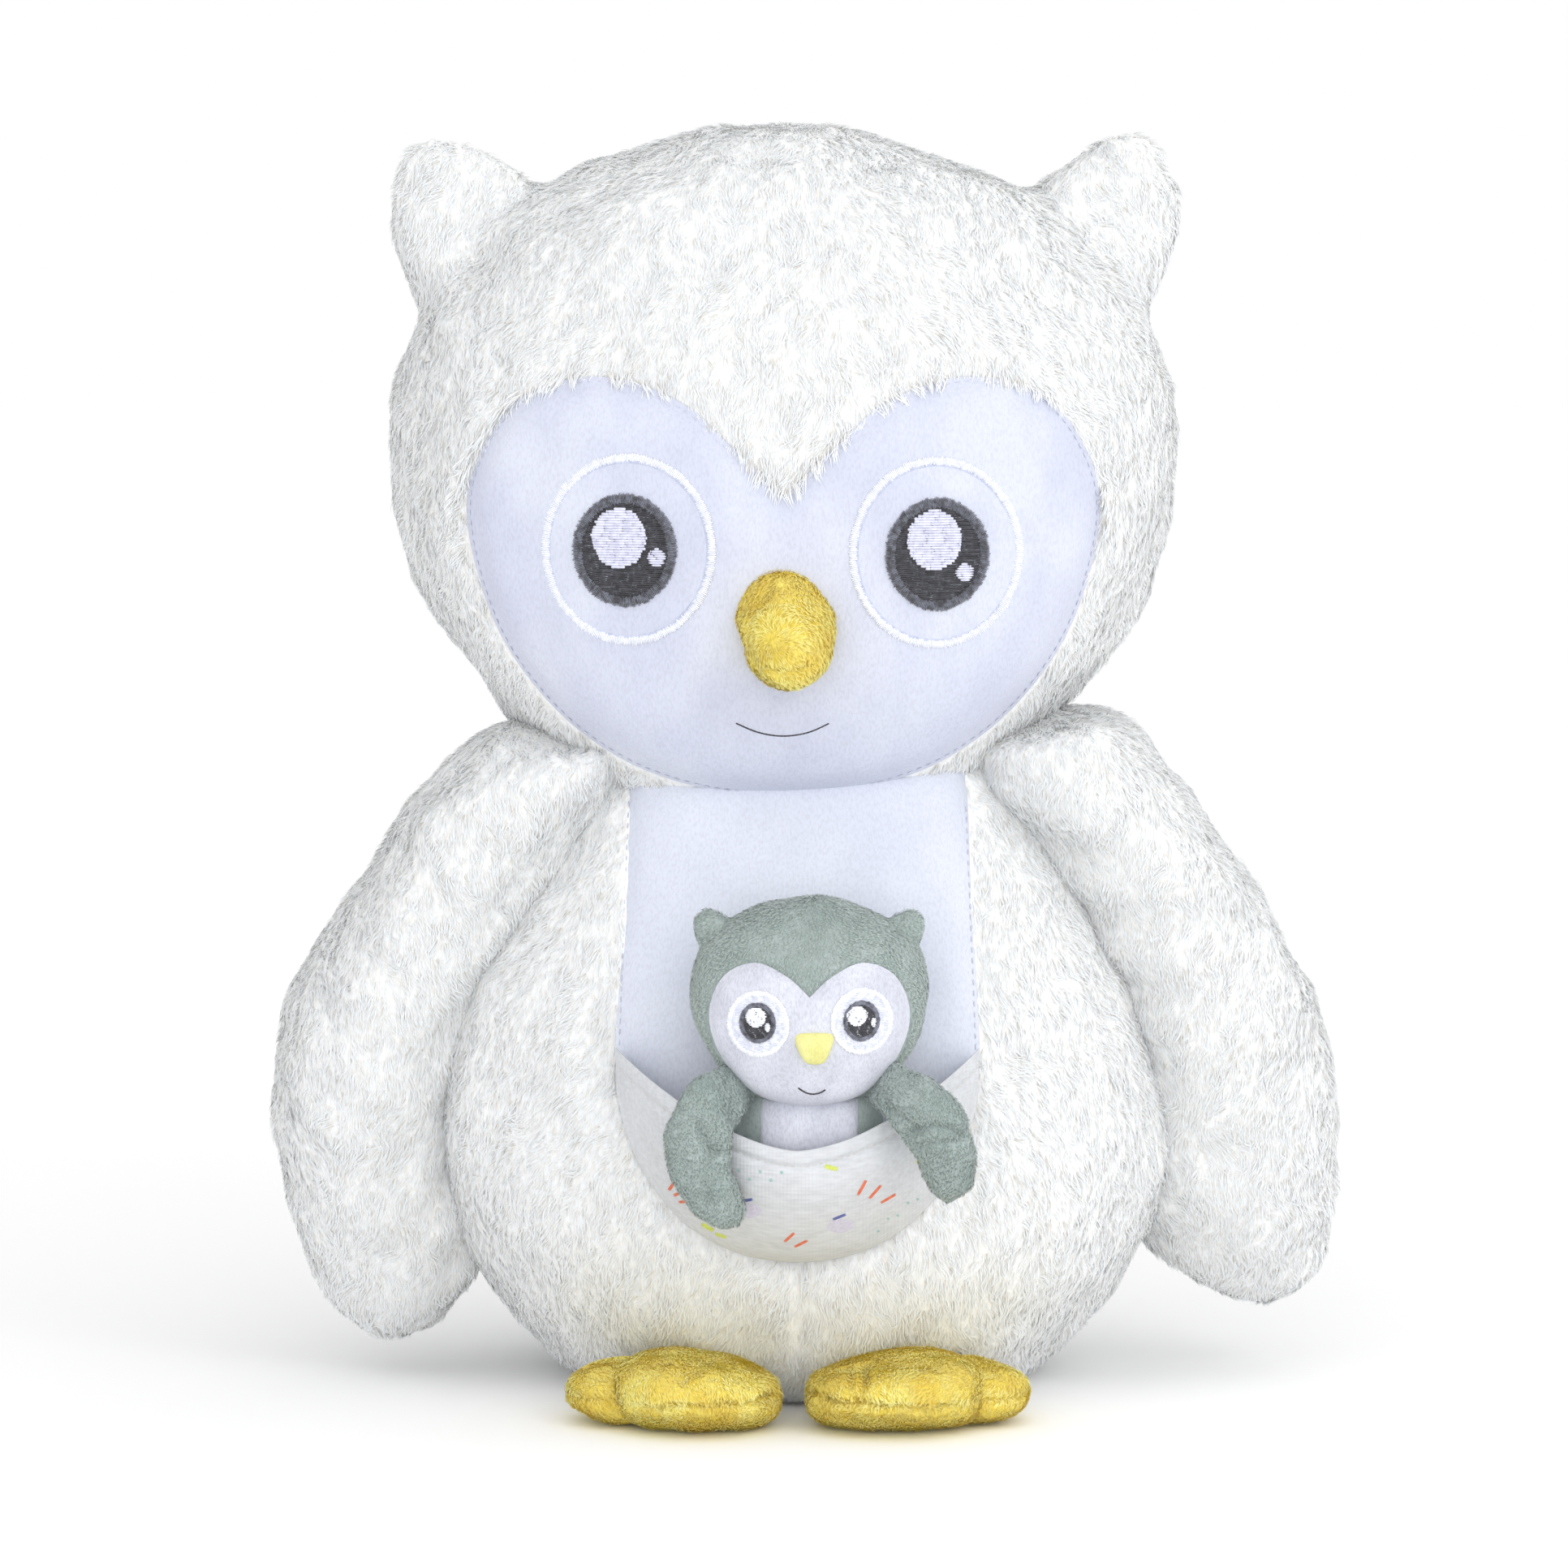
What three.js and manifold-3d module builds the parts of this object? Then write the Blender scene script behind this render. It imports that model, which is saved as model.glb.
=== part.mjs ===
// A plush mother owl that sits upright with a small baby owl in her belly pouch.
// Millimetres, +Z up, the face looks along -Y, and right and left are the owl's own (right is -X).
// The origin is the centre of the flat base.
import * as THREE from 'three';
import { mergeVertices } from 'three/addons/utils/BufferGeometryUtils.js';
import Module from 'manifold-3d';

const wasm = await Module();
wasm.setup();

// Cloth and seams
const seamGap = 0.3;        // clear space left between two pieces that touch
const coverThickness = 2;   // backing and pile root of the fur cloth
const pouchThickness = 1.5; // the pouch's lined cotton
const hemThickness = 1;
const hemHeight = 4.6;
const stitchHeight = 0.8;   // how far the embroidery stands off the cloth

// Mother's body, from the flat base up: height, half width, half depth
const bodyRows = [
  [0, 69, 57], [3.5, 74.5, 64], [11, 82, 72], [25, 94.5, 80], [44, 107.5, 86], [66, 116.5, 88],
  [90, 117.5, 87], [116, 113, 82], [142, 104, 75], [168, 91, 66.5], [191, 77, 58.5], [207, 61, 47],
  [217, 42, 32], [222.5, 20, 15], [224, 0, 0],
];
const bodySquareness = 2.15;
const neckHoleHeight = 214; // the cover is open above this, inside the head
const baseSeamInset = 4;    // from the edge of the flat base to the seam of the base panel

// Mother's head: height, half width, half depth
const headShift = -6.2;
const headRows = [
  [176, 0, 0], [179, 26, 34], [184, 46, 52], [192, 66, 62], [204, 80, 68.5], [218, 92.5, 73],
  [234, 105, 76], [252, 114.5, 77], [272, 120, 76.5], [296, 121, 74.5], [318, 118, 69.5],
  [335, 111.5, 62.5], [350, 101.5, 54], [362, 89, 46.5], [371.5, 76, 39.5], [377.5, 61.5, 32.5],
  [382, 46, 25], [387, 31, 18], [391.3, 15.5, 9.5], [393.5, 0, 0],
];
const headSquareness = 2.3;
const headSeamY = 6;        // the front and back head panels meet here, over the ears

// Ear tufts: height, distance out from the head's middle, half width, half depth
const earRows = [
  [322, 95, 0, 0], [328, 95.5, 12.5, 11], [340, 97.5, 18, 16], [354, 99.5, 21, 16], [366, 99.8, 22.3, 14],
  [374, 99.8, 21.5, 11], [379, 102, 17, 8.5], [384, 106, 11, 5.5], [388, 109.5, 0, 0],
];

// Face panel, half of the heart: distance from the middle, height
const heartNotch = [0, 281];
const heartHalf = [
  [15.5, 296], [32, 310], [56, 317.2], [79.5, 311], [93.5, 293], [97.5, 272], [89, 240],
  [72.5, 215.5], [51, 199], [26, 190], [0, 187],
];
const eyeSpacing = 93.6;
const eyeHeight = 264.6;
const eyeRingRadii = [24.9, 27.6];
const eyeRingWidth = 2.4;
const irisRadii = [15.6, 17.2];
const beakRootHeight = 245;
const beakLength = 31;
const beakRadii = [15.2, 14.6];
const beakDroop = 17;
const beakRoot = 12;        // how far its wide end would run on inside the face
const faceDepth = 74;
// Beak, from the face to the tip: share of the length, then of the width and height
const beakProfile = [
  [0, 1, 1], [0.28, 0.95, 0.96], [0.56, 0.78, 0.8], [0.8, 0.56, 0.58], [0.95, 0.3, 0.32], [1, 0, 0],
];

// Belly panel and pouch, which share one outline below the pouch corners
const bellyShift = -2;
const bellyTopHalf = 53;
const bellyTopHeight = 200;
const pouchHalf = 56;
const pouchCornerHeight = 114;
const pouchDepth = 64.7;
const pouchRoundness = 2.15;
const rimSag = 25.3;
const rimCurve = 1.55;
const pouchStandoff = 33;
const pouchSwell = 0.8;     // below 1 the pouch fills out sooner from its seam
const pouchFullness = 2.2;  // how broad the full part of the pouch is
const pouchEdge = 0.985;    // the panel stops a little short of its corners, where it has no height

// Feet: height, half width, half depth of the main lobe and of the outer toe
const footSpacing = 59;
const footReach = 94;       // from the body's middle to the middle of the main lobe
const footLobe = { width: 53, depth: 52, height: 25.5 };
const toeLobe = { width: 27, depth: 36, height: 18.5, out: 27, back: 10 };
const lobeRoundness = 2.5;
const lobeSquareness = 2.2;
const restDepth = 0.5;      // what the floor flattens from a rounded form

// Mother's wings: height, distance out from the middle, half width, half depth, place in depth
const wingRows = [
  [11, 126.5, 0, 0, -4], [14, 127, 10, 6, -4], [23, 127.8, 20.5, 12, -5], [38, 128.5, 29.5, 18.5, -6],
  [56, 131, 32, 23.5, -8], [80, 134.8, 31.5, 27.5, -10], [104, 132, 32, 32, -11],
  [128, 123.5, 32.5, 36.5, -11], [150, 113.5, 32, 40, -10], [168, 102, 32, 43.5, -10],
  [182, 91.5, 32.5, 45.5, -11], [194, 80.5, 30.5, 43.5, -12], [203, 73, 24, 34, -13], [209, 70, 0, 0, -13],
];
const wingSquareness = 2.2;
const wingPivot = { out: 86, height: 209 }; // the top of the shoulder seam, where a wing swings from
const wingBend = 90;        // the height below which a wing curls outwards
const wingCurl = {
  right: { out: 0, rise: 0 },
  left: { out: 18, rise: 12 },
};
const wingLift = 70;        // degrees from hanging down until the shoulder seam is tight
const liftStep = 8;         // degrees between the cuts that clear a limb's swing

// Baby owl: head and body rows as above
const babyShift = 1.5;
const babyHeadRows = [
  [101.5, 0, 0], [103.5, 13, 9], [108, 22.5, 15.5], [115, 29.5, 20], [124, 34.3, 23], [133, 35.4, 23.5],
  [142, 34.4, 22.8], [150, 30.5, 20], [156.5, 22.5, 14.5], [161, 12.5, 8], [163, 0, 0],
];
const babyHeadSquareness = 2.2;
const babyHeadBack = 79.5;
const babyBodyRows = [
  [60, 0, 0], [62, 9, 5], [67, 15.5, 8.5], [75, 20, 11.5], [86, 22.7, 13], [96, 22, 13], [103, 18.5, 11.5],
  [108, 12, 8], [111, 0, 0],
];
const babyEarRows = [
  [144, 26.5, 0, 0], [147, 26.8, 4.5, 4], [152, 27.8, 6, 4.5], [156.5, 29.2, 4.6, 3.4], [159.5, 30.6, 0, 0],
];
const babyHeartNotch = [0, 135.5];
const babyHeartHalf = [
  [6.5, 141.5], [16, 145.6], [25.5, 141.5], [30.2, 131], [28.5, 120], [22, 110], [12, 103.5], [0, 101],
];
const babyPanelThickness = 0.8;
const babyEyeSpacing = 30.4;
const babyEyeHeight = 128.6;
const babyEyeRadii = [8.8, 9.6];
const babyBeak = { height: 121.5, radii: [6, 5.2], length: 8, root: 5, depth: 22 };
const babyBellyHalf = 15.7;

// Baby's wings from the shoulder to the tip:
// distance out, place in depth, height, half width, half thickness
const babyWingRows = [
  [11.5, -101, 107.5, 0, 0], [14, -104.5, 107.3, 5.5, 3.8], [20.5, -113, 106, 8.8, 5.2],
  [27.5, -119.5, 99.5, 10.6, 5.8], [31.5, -121.5, 89, 10.8, 6], [30.5, -121.5, 78.5, 9, 5.4],
  [26, -121, 70.5, 5.6, 4], [22.5, -120.7, 66, 0, 0],
];
const babyWingPivot = { out: 21, height: 112.5 };
const babyWingSplay = { right: 0, left: 20 };
const babyWingLift = 60;
const babyWingRoom = 1.2;   // clear space between the baby's wings and the pouch's rim that they hang over

// How finely each form is meshed
const coarse = { sides: 20, rings: 14 };
const fine = { sides: 28, rings: 17 };
const meshes = {
  wing: { sides: 18, rings: 14 },
  ear: { sides: 14, rings: 9 },
  beak: { sides: 14, rings: 9 },
  footLobe: { sides: 16, rings: 8 },
  toeLobe: { sides: 12, rings: 7 },
  babyHead: { sides: 18, rings: 11 },
  babyBody: { sides: 14, rings: 9 },
  babyWing: { sides: 12, rings: 10 },
  babyEar: { sides: 10, rings: 6 },
  babyBeak: { sides: 12, rings: 6 },
};
const pouchMesh = { columns: 20, rows: 8 };
const outlineSteps = { base: 24, pouch: 16, heart: 20, eye: 22, babyHeart: 14, babyEye: 14 };

// A closed form through a stack of rounded sections. A row is height, half width and half depth, and where
// the stack leans, the section's place in x and y. A first row with a size is a flat bottom.
function stuffedForm(rows, { sides, rings }, squareness = 2) {
  const sizes = smoothCurve(rows.map((row) => [row[1], row[2], row[0]]));
  const places = smoothCurve(rows.map((row) => [row[3] ?? 0, row[4] ?? 0, 0]));
  const stations = [];
  for (let ring = 0; ring <= rings; ring += 1) {
    stations.push({ size: sizes.getPoint(ring / rings), place: places.getPoint(ring / rings) });
  }
  const flatBottom = rows[0][1] > 0;
  const first = stations[0];
  const last = stations[rings];
  const skirts = stations.slice(flatBottom ? 0 : 1, rings);
  const points = [[first.place.x, first.place.y, first.size.z]];
  const bend = (share) => Math.sign(share) * Math.abs(share) ** (2 / squareness);
  for (const { size, place } of skirts) {
    for (let side = 0; side < sides; side += 1) {
      const turn = (2 * Math.PI * side) / sides;
      const x = place.x + size.x * bend(Math.cos(turn));
      const y = place.y + size.y * bend(Math.sin(turn));
      points.push([x, y, size.z]);
    }
  }
  points.push([last.place.x, last.place.y, last.size.z]);
  return closedStack(points, sides, skirts.length);
}

function smoothCurve(points) {
  const curve = new THREE.CatmullRomCurve3(points.map((point) => new THREE.Vector3(...point)));
  curve.curveType = 'catmullrom';
  return curve;
}

// Joins a bottom point, rings of points and a top point into one closed mesh that faces out.
function closedStack(points, sides, ringCount) {
  const faces = [];
  const at = (ring, side) => 1 + ring * sides + (side % sides);
  const top = points.length - 1;
  for (let side = 0; side < sides; side += 1) {
    faces.push(0, at(0, side + 1), at(0, side));
    for (let ring = 0; ring < ringCount - 1; ring += 1) {
      faces.push(at(ring, side), at(ring, side + 1), at(ring + 1, side + 1));
      faces.push(at(ring, side), at(ring + 1, side + 1), at(ring + 1, side));
    }
    faces.push(top, at(ringCount - 1, side), at(ringCount - 1, side + 1));
  }
  return meshOf(points, faces);
}

function meshOf(points, faces) {
  const geometry = new THREE.BufferGeometry();
  geometry.setAttribute('position', new THREE.Float32BufferAttribute(points.flat(), 3));
  geometry.setIndex(faces);
  return geometry;
}

// The same form with its skin moved out by a distance, or in by a negative one.
function swollen(form, distance) {
  const copy = form.clone();
  copy.computeVertexNormals();
  const position = copy.getAttribute('position');
  const normal = copy.getAttribute('normal');
  const point = new THREE.Vector3();
  const push = new THREE.Vector3();
  for (let i = 0; i < position.count; i += 1) {
    point.fromBufferAttribute(position, i).addScaledVector(push.fromBufferAttribute(normal, i), distance);
    position.setXYZ(i, point.x, point.y, point.z);
  }
  copy.deleteAttribute('normal');
  return copy;
}

function solid(geometry) {
  const bare = geometry.clone();
  bare.deleteAttribute('normal');
  bare.deleteAttribute('uv');
  const merged = mergeVertices(bare, 1e-4);
  return new wasm.Manifold(new wasm.Mesh({
    numProp: 3,
    vertProperties: new Float32Array(merged.getAttribute('position').array),
    triVerts: new Uint32Array(merged.getIndex().array),
  }));
}

function geometryOf(body) {
  const { vertProperties, triVerts } = body.getMesh();
  const geometry = new THREE.BufferGeometry();
  geometry.setAttribute('position', new THREE.Float32BufferAttribute(vertProperties, 3));
  geometry.setIndex(Array.from(triVerts));
  geometry.computeVertexNormals();
  return geometry;
}

function box(low, high) {
  const size = high.map((value, i) => value - low[i]);
  const middle = high.map((value, i) => (value + low[i]) / 2);
  return solid(new THREE.BoxGeometry(...size).translate(...middle));
}

// A front view outline pushed straight through the toy, as a cutter. Outline points are x and height.
const reach = 400;          // well beyond the toy on every side
function frontPrism(outline, back, holes = []) {
  const shape = new THREE.Shape(outline);
  shape.holes = holes.map((hole) => new THREE.Path(hole));
  const prism = new THREE.ExtrudeGeometry(shape, { depth: reach, bevelEnabled: false });
  return solid(prism.rotateX(Math.PI / 2).translate(0, back, 0));
}

// A closed outline moved in by a distance.
function inset(outline, distance) {
  const inward = THREE.ShapeUtils.isClockWise(outline) ? 1 : -1;
  return outline.map((point, i) => {
    const before = outline[(i + outline.length - 1) % outline.length];
    const after = outline[(i + 1) % outline.length];
    const along = after.clone().sub(before).normalize();
    return new THREE.Vector2(point.x + inward * along.y * distance, point.y - inward * along.x * distance);
  });
}

// A mirrored outline: a top point, then a smooth half that is repeated on the other side.
function mirroredOutline(top, half, middle, steps) {
  const smooth = new THREE.SplineCurve([top, ...half].map(([x, z]) => new THREE.Vector2(x, z)));
  const side = smooth.getPoints(steps);
  const otherSide = side.slice(1, -1).reverse().map((point) => new THREE.Vector2(-point.x, point.y));
  return [...side, ...otherSide].map((point) => point.add(new THREE.Vector2(middle, 0)));
}

function ellipse([across, up], x, z, steps) {
  return new THREE.EllipseCurve(x, z, across, up).getPoints(steps).slice(0, -1);
}

function turnedAboutY(body, x, z, degrees) {
  return body.translate([-x, 0, -z]).rotate([0, degrees, 0]).translate([x, 0, z]);
}

// Takes from a limb what would run into its neighbour anywhere in its swing about a front-to-back line.
function clearedThrough(limb, neighbour, x, z, degrees) {
  let cleared = limb;
  const steps = Math.round(Math.abs(degrees) / liftStep);
  for (let step = 0; step <= steps; step += 1) {
    cleared = cleared.subtract(turnedAboutY(neighbour, x, z, (-degrees * step) / steps));
  }
  return cleared;
}

const owl = new THREE.Group();

function addPiece(name, body, { color, roughness }) {
  const material = new THREE.MeshStandardMaterial({ color, roughness, metalness: 0 });
  const mesh = new THREE.Mesh(geometryOf(body), material);
  mesh.name = name;
  owl.add(mesh);
}

const whiteFur = { color: '#f1eee6', roughness: 0.95 };
const smoothVelour = { color: '#dcdcf2', roughness: 0.8 };
const fibreFilling = { color: '#f6f6f4', roughness: 1 };
const goldVelour = { color: '#e3bd38', roughness: 0.85 };
const sageVelour = { color: '#9aada5', roughness: 0.85 };
const printedCotton = { color: '#f1ede6', roughness: 0.9 };
const whiteThread = { color: '#eeeef4', roughness: 0.4 };
const darkThread = { color: '#4a4a52', roughness: 0.5 };
const paleYellow = { color: '#e8dc8c', roughness: 0.85 };
const owlSides = { right: -1, left: 1 };

// Mother's body
const bodyForm = stuffedForm(bodyRows, fine, bodySquareness);
const bodyCore = stuffedForm(bodyRows, coarse, bodySquareness);
const bodyClear = solid(swollen(bodyForm, seamGap));
const bodyShell = solid(bodyForm).subtract(solid(swollen(bodyCore, -coverThickness)));

const bellyOutline = (() => {
  const outline = [];
  const steps = outlineSteps.pouch;
  for (let step = 0; step <= steps; step += 1) {
    const turn = (Math.PI * step) / steps;
    const across = Math.sign(Math.cos(turn)) * Math.abs(Math.cos(turn)) ** (2 / pouchRoundness);
    const down = Math.abs(Math.sin(turn)) ** (2 / pouchRoundness);
    outline.push(new THREE.Vector2(bellyShift + pouchHalf * across, pouchCornerHeight - pouchDepth * down));
  }
  outline.push(new THREE.Vector2(bellyShift - bellyTopHalf, bellyTopHeight));
  outline.push(new THREE.Vector2(bellyShift + bellyTopHalf, bellyTopHeight));
  return outline;
})();

const neckHole = box([-reach, -reach, neckHoleHeight], [reach, reach, reach]);
// An oval column that stands under the base, as a cutter for the base panel and its seam
function baseColumn(gap) {
  const [, halfWidth, halfDepth] = bodyRows[0];
  const radii = [halfWidth, halfDepth].map((half) => half - baseSeamInset - gap);
  const oval = new THREE.Shape(ellipse(radii, 0, 0, outlineSteps.base));
  const column = new THREE.ExtrudeGeometry(oval, { depth: 4 * coverThickness, bevelEnabled: false });
  return solid(column.translate(0, 0, -2 * coverThickness));
}
const bodyCover = bodyShell.subtract(neckHole)
  .subtract(frontPrism(bellyOutline, 0))
  .subtract(baseColumn(0));
const rightHalf = box([-reach, -reach, -reach], [-seamGap / 2, reach, reach]);
const leftHalf = box([seamGap / 2, -reach, -reach], [reach, reach, reach]);
addPiece('body_cover_right', bodyCover.intersect(rightHalf), whiteFur);
addPiece('body_cover_left', bodyCover.intersect(leftHalf), whiteFur);
addPiece('base_panel', bodyShell.intersect(baseColumn(seamGap)), whiteFur);
addPiece('body_filling', solid(swollen(bodyCore, -coverThickness - seamGap)), fibreFilling);
addPiece('belly_panel', bodyShell.intersect(frontPrism(inset(bellyOutline, seamGap), 0)), smoothVelour);

// Mother's head
const headForm = stuffedForm(headRows, fine, headSquareness).translate(headShift, 0, 0);
const headCore = stuffedForm(headRows, coarse, headSquareness).translate(headShift, 0, 0);
const headClear = solid(swollen(headForm, seamGap));
const headShell = solid(headForm).subtract(solid(swollen(headCore, -coverThickness))).subtract(bodyClear);
const heartOutline = mirroredOutline(heartNotch, heartHalf, headShift, outlineSteps.heart);
const headCover = headShell.subtract(frontPrism(heartOutline, 0));
const headFront = box([-reach, -reach, -reach], [reach, headSeamY - seamGap / 2, 2 * reach]);
const headBack = box([-reach, headSeamY + seamGap / 2, -reach], [reach, reach, 2 * reach]);
addPiece('head_cover_front', headCover.intersect(headFront), whiteFur);
addPiece('head_cover_back', headCover.intersect(headBack), whiteFur);
const headInside = solid(swollen(headCore, -coverThickness - seamGap));
addPiece('head_filling', headInside.subtract(bodyClear), fibreFilling);
addPiece('face_panel', headShell.intersect(frontPrism(inset(heartOutline, seamGap), 0)), smoothVelour);

// Embroidery on a form: what a front view outline covers, standing off the cloth
function stitched(form, prism) {
  const outer = solid(swollen(form, seamGap + stitchHeight));
  return outer.subtract(solid(swollen(form, seamGap))).intersect(prism);
}

for (const [side, sign] of Object.entries(owlSides)) {
  const eyeX = headShift + (sign * eyeSpacing) / 2;
  const innerRadii = eyeRingRadii.map((radius) => radius - eyeRingWidth);
  const ringHole = ellipse(innerRadii, eyeX, eyeHeight, outlineSteps.eye);
  const ring = frontPrism(ellipse(eyeRingRadii, eyeX, eyeHeight, outlineSteps.eye), 0, [ringHole]);
  const iris = frontPrism(ellipse(irisRadii, eyeX, eyeHeight, outlineSteps.eye), 0);
  addPiece(`eye_ring_${side}`, stitched(headForm, ring), whiteThread);
  addPiece(`iris_${side}`, stitched(headForm, iris), darkThread);
}

// A cone of stuffed velour that points forward, sewn on at its wide end
function beakForm([across, up], length, root, detail) {
  const rows = beakProfile.map(([along, wide, high]) => [length * along, across * wide, up * high]);
  return stuffedForm([[-root, across, up], ...rows], detail).rotateX(Math.PI / 2);
}
const beakAngle = Math.atan2(beakDroop, beakLength);
const beak = beakForm(beakRadii, beakLength, beakRoot, meshes.beak)
  .rotateX(beakAngle).translate(headShift, -faceDepth, beakRootHeight);
addPiece('beak', solid(beak).subtract(headClear), goldVelour);

// Ears
for (const [side, sign] of Object.entries(owlSides)) {
  const rows = earRows.map(([z, out, a, b]) => [z, a, b, headShift + sign * out, 0]);
  const ear = stuffedForm(rows, meshes.ear);
  addPiece(`ear_tuft_${side}`, solid(ear).subtract(headClear), whiteFur);
}

// Wings
for (const [side, sign] of Object.entries(owlSides)) {
  const curl = wingCurl[side];
  const rows = wingRows.map(([z, out, a, b, y]) => {
    const bend = Math.max(0, (wingBend - z) / (wingBend - wingRows[0][0])) ** 2;
    return [z + curl.rise * bend, a, b, sign * (out + curl.out * bend), y];
  });
  const form = solid(stuffedForm(rows, meshes.wing, wingSquareness));
  const pivotX = sign * wingPivot.out;
  const offBody = clearedThrough(form, bodyClear, pivotX, wingPivot.height, -sign * wingLift);
  const offHead = clearedThrough(offBody, headClear, pivotX, wingPivot.height, -sign * wingLift);
  addPiece(`wing_${side}`, offHead, whiteFur);
}

// Feet: a broad lobe in front and a smaller toe beside it, flattened where they stand
function lobe({ width, depth, height }, detail) {
  const rows = [];
  const steps = 8;
  for (let step = 0; step <= steps; step += 1) {
    const level = -Math.cos((Math.PI * step) / steps);
    const share = step % steps === 0 ? 0 : (1 - Math.abs(level) ** lobeRoundness) ** (1 / lobeRoundness);
    rows.push([(height / 2) * (1 + level), (width / 2) * share, (depth / 2) * share]);
  }
  return stuffedForm(rows, detail, lobeSquareness);
}
const aboveFloor = box([-reach, -reach, 0], [reach, reach, reach]);
for (const [side, sign] of Object.entries(owlSides)) {
  const footX = bellyShift + (sign * footSpacing) / 2;
  const main = lobe(footLobe, meshes.footLobe).translate(footX, -footReach, -restDepth);
  const toe = lobe(toeLobe, meshes.toeLobe)
    .translate(footX + sign * toeLobe.out, toeLobe.back - footReach, -restDepth);
  const foot = solid(main).add(solid(toe)).subtract(bodyClear);
  addPiece(`foot_${side}`, foot.intersect(aboveFloor), goldVelour);
}

// Pouch: a cotton panel sewn round its lower edge that stands off the belly and is open at the top
const bodyStations = smoothCurve(bodyRows.map((row) => [row[1], row[2], row[0]])).getPoints(240);
function bellyFront(x, z) {
  const above = Math.max(1, bodyStations.findIndex((station) => station.z > z));
  const share = (z - bodyStations[above - 1].z) / (bodyStations[above].z - bodyStations[above - 1].z);
  const station = bodyStations[above - 1].clone().lerp(bodyStations[above], share);
  return -station.y * (1 - Math.abs(x / station.x) ** bodySquareness) ** (1 / bodySquareness);
}
function pouchSeam(across) {
  return pouchCornerHeight - pouchDepth * (1 - Math.abs(across) ** pouchRoundness) ** (1 / pouchRoundness);
}
function pouchRim(across) {
  return pouchCornerHeight - rimSag * (1 - Math.abs(across) ** rimCurve);
}
function pouchBulge(across, share) {
  const upward = Math.sin((share * Math.PI) / 2);
  return pouchStandoff * (upward * (1 - Math.abs(across) ** pouchFullness)) ** pouchSwell;
}
// Shares of the half width from one end to the other, closer together towards the corners
function pouchColumns(columns) {
  const shares = [];
  for (let column = 0; column <= columns; column += 1) {
    shares.push(pouchEdge * Math.sin((Math.PI / 2) * ((2 * column) / columns - 1)));
  }
  return shares;
}
// A panel over the belly from one share of the pouch's height up to the rim, between two distances off it
function pouchPanel(lowShare, near, far, columns, rows) {
  const [back, front] = [near, far].map((lift) => {
    const grid = [];
    for (const across of pouchColumns(columns)) {
      const x = bellyShift + pouchHalf * across;
      for (let row = 0; row <= rows; row += 1) {
        const share = lowShare + ((1 - lowShare) * row) / rows;
        const z = pouchSeam(across) + (pouchRim(across) - pouchSeam(across)) * share;
        grid.push([x, bellyFront(x, z) - pouchBulge(across, share) - lift, z]);
      }
    }
    return grid;
  });
  return doubleSkin(back, front, columns, rows);
}

// Closes two like grids of points, the first behind the second, into one sheet.
function doubleSkin(back, front, columns, rows) {
  const faces = [];
  const count = back.length;
  const at = (column, row) => column * (rows + 1) + row;
  for (let column = 0; column < columns; column += 1) {
    for (let row = 0; row < rows; row += 1) {
      const a = at(column, row);
      const b = at(column + 1, row);
      const c = at(column + 1, row + 1);
      const d = at(column, row + 1);
      faces.push(a, c, b, a, d, c);
      faces.push(count + a, count + b, count + c, count + a, count + c, count + d);
    }
  }
  const edge = [];
  for (let column = 0; column < columns; column += 1) edge.push(at(column, 0));
  for (let row = 0; row < rows; row += 1) edge.push(at(columns, row));
  for (let column = columns; column > 0; column -= 1) edge.push(at(column, rows));
  for (let row = rows; row > 0; row -= 1) edge.push(at(0, row));
  edge.forEach((here, i) => {
    const next = edge[(i + 1) % edge.length];
    faces.push(here, next, count + next, here, count + next, count + here);
  });
  return meshOf([...back, ...front], faces);
}
const pouchFar = seamGap + pouchThickness;
const hemNear = pouchFar + seamGap;
const hemFar = hemNear + hemThickness;
const hemShare = 1 - hemHeight / (pouchRim(0) - pouchSeam(0));
const pouchPiece = pouchPanel(0, seamGap, pouchFar, pouchMesh.columns, pouchMesh.rows);
addPiece('pouch_front', solid(pouchPiece).subtract(bodyClear), printedCotton);
addPiece('pouch_hem', solid(pouchPanel(hemShare, hemNear, hemFar, pouchMesh.columns, 1)), printedCotton);

// A form with a panel let into its skin under a front view outline
function withInlay(form, outline, back) {
  const recess = frontPrism(outline, back).subtract(solid(swollen(form, -babyPanelThickness - seamGap)));
  const skin = solid(form).subtract(solid(swollen(form, -babyPanelThickness)));
  return {
    base: solid(form).subtract(recess),
    panel: skin.intersect(frontPrism(inset(outline, seamGap), back)),
  };
}
const widestDepth = (rows) => Math.max(...rows.map((row) => row[2]));

// Baby's head
const babyHeadY = -babyHeadBack - widestDepth(babyHeadRows);
const babyHeadForm = stuffedForm(babyHeadRows, meshes.babyHead, babyHeadSquareness)
  .translate(babyShift, babyHeadY, 0);
const babyHeadClear = solid(swollen(babyHeadForm, seamGap));
const babyHeart = mirroredOutline(babyHeartNotch, babyHeartHalf, babyShift, outlineSteps.babyHeart);
const babyHead = withInlay(babyHeadForm, babyHeart, babyHeadY);
addPiece('baby_head', babyHead.base, sageVelour);
addPiece('baby_face_panel', babyHead.panel, smoothVelour);

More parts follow.
